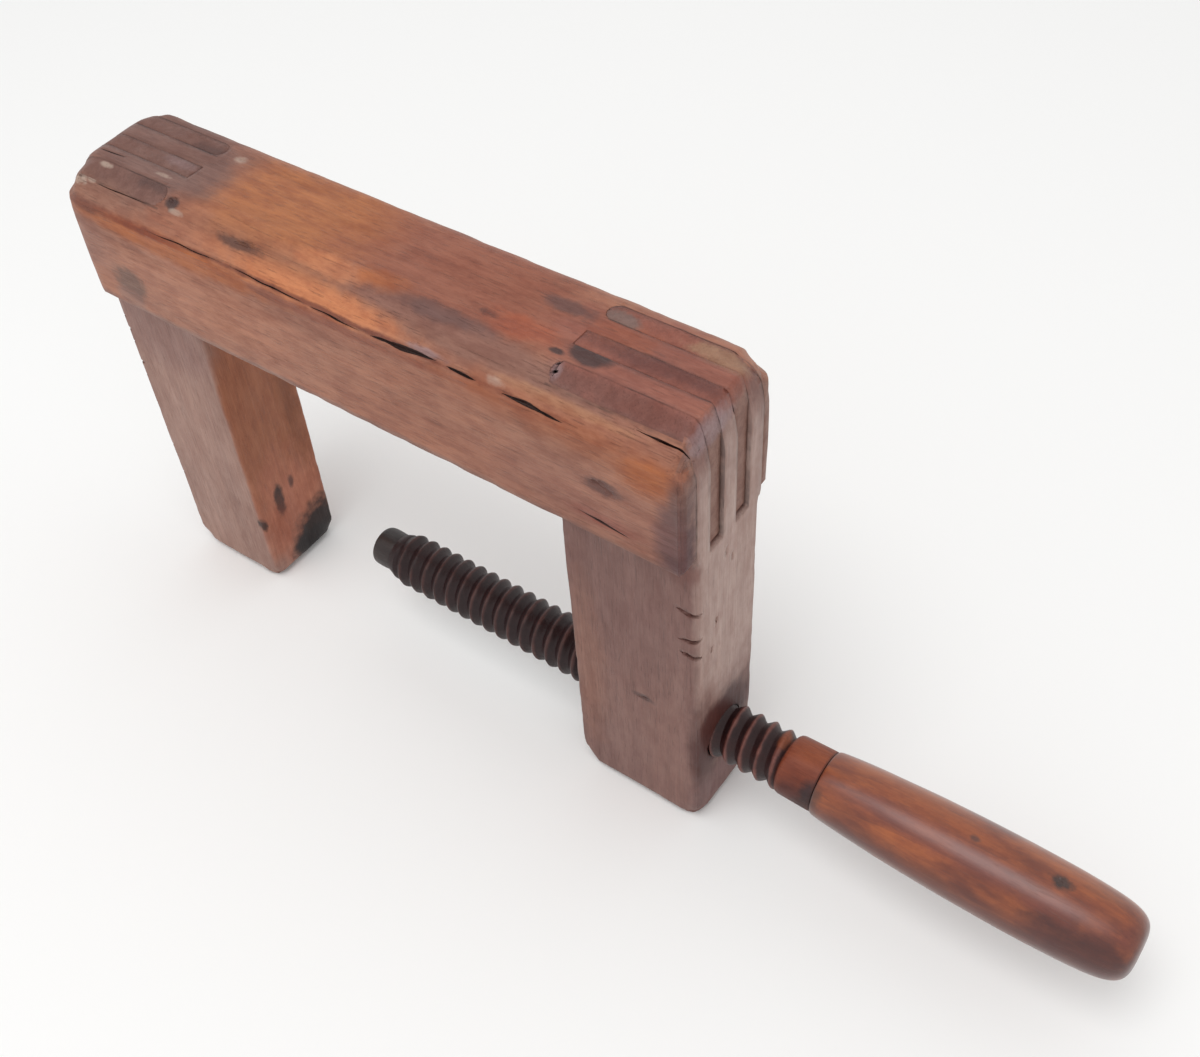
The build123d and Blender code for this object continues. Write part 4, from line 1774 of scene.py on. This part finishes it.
HANDLE_WOOD = WoodFinish(
    name="Handle wood",
    fibre=Fibre.LENGTHWISE,
    pith=(200.0, 6.0, 61.0),
    light=paint(168, 90, 42),
    dark=paint(116, 52, 28),
    bloom=paint(90, 30, 22),
    haze=paint(148, 74, 38),
    end_grain=paint(84, 38, 32),
    rubbed=paint(130, 64, 38),
    pore=paint(62, 30, 24),
    roughness=(0.36, 0.5),
    coat=0.6,
    coat_roughness=0.3,
    ring_scale=60.0,
    tone_scale=75.0,
    bloom_share=0.7,
    haze_share=0.5,
    relief=0.06,
    end_share=0.75,
    stains_and_painted_light=(
        StainAndPaintedLight((132.0, -14.0, 57.0), (3.4, 8.0, 9.0), SOOT, 0.6, 0.5, 0.6, 200.0),
        StainAndPaintedLight((131.0, 0.0, 53.0), (0.9, 40.0, 40.0), DARK_STAIN, 0.5, 0.3, 0.4, 150.0),
        # Painted shade: darkens the lower side of the handle's neck.
        StainAndPaintedLight((150.0, -16.0, 42.0), (20.0, 12.0, 12.0), paint(76, 38, 34), 0.75, 0.4, 0.5, 90.0),
        # Painted shade: darkens the lower near side by the handle's end.
        StainAndPaintedLight((264.0, -16.0, 58.0), (27.0, 9.0, 13.0), paint(70, 22, 20), 0.85, 0.5, 0.5, 90.0),
        StainAndPaintedLight((205.0, -18.0, 46.0), (30.0, 10.0, 9.0), paint(150, 84, 44), 0.5, 0.5, 0.6, 90.0),
        StainAndPaintedLight((244.7, 0.2, 74.0), (4.5, 3.4, 4.0), SOOT, 0.88, 0.5, 0.4, 250.0),
        StainAndPaintedLight((204.9, -0.8, 74.0), (2.2, 1.6, 3.0), DARK_STAIN, 0.7, 0.4, 0.5, 300.0),
        StainAndPaintedLight((279.0, -6.0, 70.0), (4.0, 7.0, 6.0), RED_BROWN, 0.6, 0.4, 0.5, 150.0),
        StainAndPaintedLight((283.0, 6.0, 60.0), (5.0, 14.0, 16.0), paint(112, 58, 40), 0.6, 0.4, 0.5, 100.0),
        # Painted shade: these two blots darken the handle's lower side and underside.
        StainAndPaintedLight((215.0, -19.5, 51.0), (85.0, 6.0, 9.0), paint(84, 30, 22), 0.75, 0.4, 0.6, 70.0),
        StainAndPaintedLight((215.0, -6.0, 33.0), (90.0, 18.0, 6.0), paint(84, 36, 26), 0.7, 0.4, 0.6, 70.0),
        StainAndPaintedLight((200.0, -9.0, 70.0), (70.0, 6.0, 5.0), paint(122, 56, 44), 0.6, 0.5, 0.6, 120.0),
        StainAndPaintedLight((172.0, 11.0, 71.0), (30.0, 8.0, 8.0), paint(164, 92, 48), 0.6, 0.5, 0.6, 80.0),
        StainAndPaintedLight((250.0, 12.0, 68.0), (26.0, 8.0, 8.0), paint(166, 98, 58), 0.5, 0.5, 0.6, 80.0),
    ),
)


@dataclass(frozen=True)
class Studio:
    """Floor, light and camera.

    Args:
        eye: Where the camera stands, in metres.
        target: The point that it looks at, in metres.
        roll: Turn about its line of sight, in degrees.
        lens: Focal length for a 36 mm wide sensor, in millimetres.
        sky: Strength of the light from all round.
        key: Power of the soft lamp, in watts.
        key_place: Where the soft lamp hangs, in metres.
        key_size: Width of the soft lamp, in metres.
        floor_size: Width of the floor, in metres.
    """

    eye: Point = (0.2826, -0.3446, 0.6363)
    target: Point = (-0.0148, 0.0265, 0.120)
    roll: float = -4.277
    lens: float = 42.868
    sky: float = 0.8
    key: float = 12.0
    key_place: Point = (0.0, -0.62, 2.0)
    key_size: float = 1.1
    floor_size: float = 8.0

    def lay_floor(self) -> None:
        """Lay a plain pale floor under the clamp."""
        bpy.ops.object.select_all(action="DESELECT")
        bpy.ops.mesh.primitive_plane_add(size=self.floor_size, location=(0.0, 0.0, -0.2 * MM))
        floor = bpy.context.object
        floor.name = "floor"
        material = bpy.data.materials.new("Floor")
        material.use_nodes = True
        shader = material.node_tree.nodes["Principled BSDF"]
        shader.inputs["Base Color"].default_value = paint(250, 250, 249)
        shader.inputs["Roughness"].default_value = 0.95
        shader.inputs["Specular IOR Level"].default_value = 0.1
        floor.data.materials.append(material)

    def light(self) -> None:
        """Light the clamp softly from all round, with one large lamp above the camera."""
        world = bpy.data.worlds.new("Sky")
        bpy.context.scene.world = world
        world.use_nodes = True
        world.node_tree.nodes.clear()
        sheet = NodeSheet(world.node_tree)
        path = sheet.add("ShaderNodeLightPath")
        seen = sheet.math(
            "MAXIMUM",
            path.outputs["Is Camera Ray"],
            sheet.math("MAXIMUM", path.outputs["Is Glossy Ray"], path.outputs["Is Transmission Ray"]),
        )
        strength = sheet.add("ShaderNodeMapRange")
        for socket, value in zip(strength.inputs, (seen, 0.0, 1.0, self.sky, 1.0)):
            sheet.feed(socket, value)
        white = (1.0, 1.0, 1.0, 1.0)
        glow = sheet.add("ShaderNodeBackground", {"Color": white, "Strength": strength.outputs[0]})
        sheet.add("ShaderNodeOutputWorld", {"Surface": glow.outputs[0]})

        lamp = bpy.data.lights.new("Soft lamp", "AREA")
        lamp.shape = "DISK"
        lamp.size = self.key_size
        lamp.energy = self.key
        item = bpy.data.objects.new("Soft lamp", lamp)
        item.location = self.key_place
        item.rotation_euler = (-Vector(self.key_place)).to_track_quat("-Z", "Y").to_euler()
        bpy.context.scene.collection.objects.link(item)

    def place_camera(self) -> None:
        """Stand the camera where the photograph was taken from."""
        camera = bpy.data.cameras.new("Camera")
        camera.lens = self.lens
        camera.sensor_width = 36.0
        item = bpy.data.objects.new("Camera", camera)
        look = (Vector(self.target) - Vector(self.eye)).normalized()
        right = look.cross(Vector((0, 0, 1))).normalized()
        roll = math.radians(self.roll)
        tilted = right * math.cos(roll) + right.cross(look) * math.sin(roll)
        up = tilted.cross(look)
        turn = Matrix((tilted, up, -look)).transposed()
        item.matrix_world = Matrix.Translation(self.eye) @ turn.to_4x4()
        bpy.context.scene.collection.objects.link(item)
        bpy.context.scene.camera = item

    def build(self) -> None:
        """Set the stage."""
        self.lay_floor()
        self.light()
        self.place_camera()
        bpy.context.scene.view_settings.view_transform = "Standard"


BEVEL_OUT = (0.0, -0.7, 1.0)

BEAM_CRACKS = (
    Crack((-222.0, -33.6, 255.9), (-170.0, -32.8, 256.8), BEVEL_OUT, 0.5, 2.0, 2.0),
    Crack((-168.5, -32.8, 256.8), (-120.0, -33.5, 256.0), BEVEL_OUT, 0.7, 2.4, 3.1),
    Crack((-118.0, -33.6, 255.9), (-88.0, -34.0, 255.4), BEVEL_OUT, 0.8, 2.0, 4.7),
    Crack((-82.0, -34.0, 255.3), (-46.0, -32.7, 256.9), BEVEL_OUT, 2.0, 3.2, 5.3),
    Crack((-41.0, -32.9, 256.7), (-25.0, -33.1, 256.4), BEVEL_OUT, 1.7, 2.8, 6.9),
    Crack((-12.0, -33.2, 256.3), (19.0, -33.7, 255.8), BEVEL_OUT, 1.8, 2.8, 7.7),
    Crack((48.0, -26.6, 262.2), (79.0, -26.0, 260.5), (0.0, -0.3, 1.0), 0.9, 5.0, 8.3, 0.4),
    Crack((-262.0, -25.6, 262.9), (-226.0, -25.0, 263.4), (0.0, -0.3, 1.0), 0.6, 2.0, 9.1, 0.4),
    Crack((-274.0, -9.6, 268.0), (-256.0, -8.4, 269.0), (0.0, 0.0, 1.0), 0.7, 1.8, 9.7, 0.4),
    Crack((36.0, 23.0, 269.0), (66.0, 25.2, 268.9), (0.0, 0.0, 1.0), 1.0, 3.0, 10.9, 0.5),
    Crack((24.0, -34.8, 210.6), (49.0, -34.8, 208.0), (0.0, -1.0, 0.0), 1.3, 3.0, 11.3),
    Crack((75.2, -25.2, 246.0), (75.4, -25.0, 200.0), (1.0, 0.0, 0.0), 1.2, 3.0, 12.1, 0.4),
)

BEAM_NICKS = (
    Nick((-213.0, -20.6, 267.2), (3.4, 2.4, 1.6), (0.0, 0.0, 20.0), 0.4, 1.0),
    Nick((-207.0, 19.0, 270.4), (3.6, 3.0, 2.0), (0.0, 0.0, 50.0), 0.4, 2.0),
    Nick((-272.0, -27.5, 263.0), (5.5, 2.4, 1.8), (0.0, 0.0, -12.0), 0.5, 3.0),
    Nick((-283.0, -5.0, 266.0), (3.4, 1.8, 4.0), (0.0, 0.0, 0.0), 0.4, 4.0),
    Nick((-285.0, -14.5, 264.0), (3.2, 1.5, 4.0), (0.0, 0.0, 0.0), 0.4, 5.0),
    Nick((-284.5, 15.0, 265.5), (3.0, 1.6, 4.0), (0.0, 0.0, 0.0), 0.4, 6.0),
    Nick((76.0, 36.0, 206.0), (6.0, 5.0, 13.0), (0.0, 12.0, 0.0), 0.35, 7.0),
    Nick((37.0, -36.4, 231.0), (7.5, 2.2, 3.0), (0.0, 20.0, 0.0), 0.4, 8.0),
    Nick((1.0, -12.3, 270.0), (3.4, 1.8, 1.5), (0.0, 0.0, 0.0), 0.4, 9.0),
    Nick((14.0, -7.2, 271.0), (8.5, 4.6, 2.6), (0.0, 0.0, 8.0), 0.2, 10.0),
    Nick((-54.0, -30.0, 262.5), (8.0, 2.2, 3.2), (-35.0, 0.0, 3.0), 0.5, 11.0),
    Nick((-166.0, -25.5, 265.0), (11.0, 3.0, 2.0), (-25.0, 0.0, 4.0), 0.5, 12.0),
    Nick((75.0, -36.0, 250.0), (3.0, 3.0, 5.0), (0.0, 0.0, 45.0), 0.5, 13.0),
)


NICK_LENGTH = 2.2
NICK_HEIGHT = 0.42
NICK_LEAN = 13


def arris_nicks(x: float, y: float, heights: Sequence[Pair], turn: float) -> tuple[Nick, ...]:
    """List the short level nicks down an upright edge.

    Args:
        x: Place of the edge along X.
        y: Place of the edge along Y.
        heights: Height and depth of each nick.
        turn: Turn of the nicks about Z, in degrees.

    Returns:
        The nicks, each a little different.
    """
    nicks = []
    for height, depth in heights:
        reach = (depth * NICK_LENGTH, depth, depth * NICK_HEIGHT)
        lean = (height * 7) % (2 * NICK_LEAN) - NICK_LEAN
        nicks.append(Nick((x, y, height), reach, (0.0, lean, turn), 0.4, height))
    return tuple(nicks)


FIXED_JAW_NICKS = arris_nicks(
    FIXED_LOW.x + 1.2,
    FIXED_LOW.y + 1.2,
    (
        (174, 2.4),
        (165, 3.4),
        (156, 2.6),
        (142, 3.4),
        (133, 2.6),
        (112, 2.2),
        (93, 2.0),
        (80, 2.8),
        (72, 2.4),
        (58, 3.0),
    ),
    45.0,
)
THREADED_JAW_NICKS = (
    *arris_nicks(
        THREADED_HIGH.x - 3,
        THREADED_LOW.y + 0.5,
        ((163, 3.4), (145, 3.2), (133.5, 3.4)),
        12.0,
    ),
    Nick((75.8, -9.3, 147.0), (1.6, 1.2, 3.0), (0.0, 0.0, 0.0), 0.4, 3.0),
    Nick((75.8, -13.0, 130.0), (1.6, 1.0, 2.2), (0.0, 0.0, 0.0), 0.4, 4.0),
    Nick((75.8, -2.2, 184.6), (1.4, 0.7, 3.4), (0.0, 0.0, 0.0), 0.4, 5.0),
    Nick((75.8, 2.8, 178.0), (1.4, 0.7, 3.0), (0.0, 0.0, 0.0), 0.4, 6.0),
    Nick((45.0, -25.6, 84.0), (5.0, 1.4, 1.2), (0.0, -20.0, 0.0), 0.4, 7.0),
)

NOSE_OUTLINE = (
    (0.15, 0.0),
    (0.1, 4.0),
    (0.0, 8.0),
    (0.35, 9.8),
    (1.3, 10.8),
    (3.2, 11.15),
    (7.0, 11.2),
    (10.5, 11.0),
    (12.6, 10.8),
    (12.9, 10.5),
    (12.9, 9.8),
    (12.9, 0.0),
)

HANDLE_OUTLINE = (
    (45.6, 0.0),
    (45.6, 9.1),
    (45.3, 9.2),
    (0.6, 9.2),
    (0.1, 9.4),
    (0.0, 15.4),
    (0.25, 16.2),
    (1.2, 16.7),
    (7.0, 17.35),
    (13.0, 17.9),
    (24.0, 18.65),
    (38.0, 19.5),
    (56.0, 20.25),
    (76.0, 20.7),
    (96.0, 20.8),
    (112.0, 20.55),
    (124.0, 20.1),
    (135.0, 19.4),
    (143.5, 18.2),
    (149.2, 16.0),
    (152.2, 12.8),
    (153.3, 8.5),
    (153.5, 4.0),
    (153.5, 0.0),
)


def main() -> None:
    """Build the clamp and its stage."""
    logging.basicConfig(level=logging.INFO, format="%(asctime)s %(name)s: %(message)s")
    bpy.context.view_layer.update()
    Studio().build()
    pieces = (
        Block("beam", "beam_wood", BEAM_WOOD, FRAME_WEAR, CRACK_WOOD, BEAM_CRACKS, BEAM_NICKS),
        Block("fixed_jaw", "jaw_wood", FIXED_JAW_WOOD, FRAME_WEAR, CRACK_WOOD, nicks=FIXED_JAW_NICKS),
        Block(
            "threaded_jaw",
            "jaw_wood",
            THREADED_JAW_WOOD,
            FRAME_WEAR,
            CRACK_WOOD,
            nicks=THREADED_JAW_NICKS,
            bore=16.5,
        ),
        Screw(Thread(), SCREW_WOOD),
        TurnedPiece(
            "screw_nose",
            "nose",
            "nose_wood",
            NOSE_WOOD,
            NOSE_LOW.x,
            NOSE_OUTLINE,
            uneven=Unevenness(0.25, 16.0, 2.0),
        ),
        TurnedPiece(
            "handle",
            "screw",
            "handle_wood",
            HANDLE_WOOD,
            HANDLE_LOW.x,
            HANDLE_OUTLINE,
            nicks=(Nick((244.7, 0.2, 75.2), (4.0, 3.0, 2.2), (0.0, 0.0, 20.0), 0.4, 1.0),),
        ),
    )
    for piece in pieces:
        made = piece.build()
        LOG.info("%s: %d faces", made.name, len(made.data.polygons))


if __name__ == "__main__":
    main()
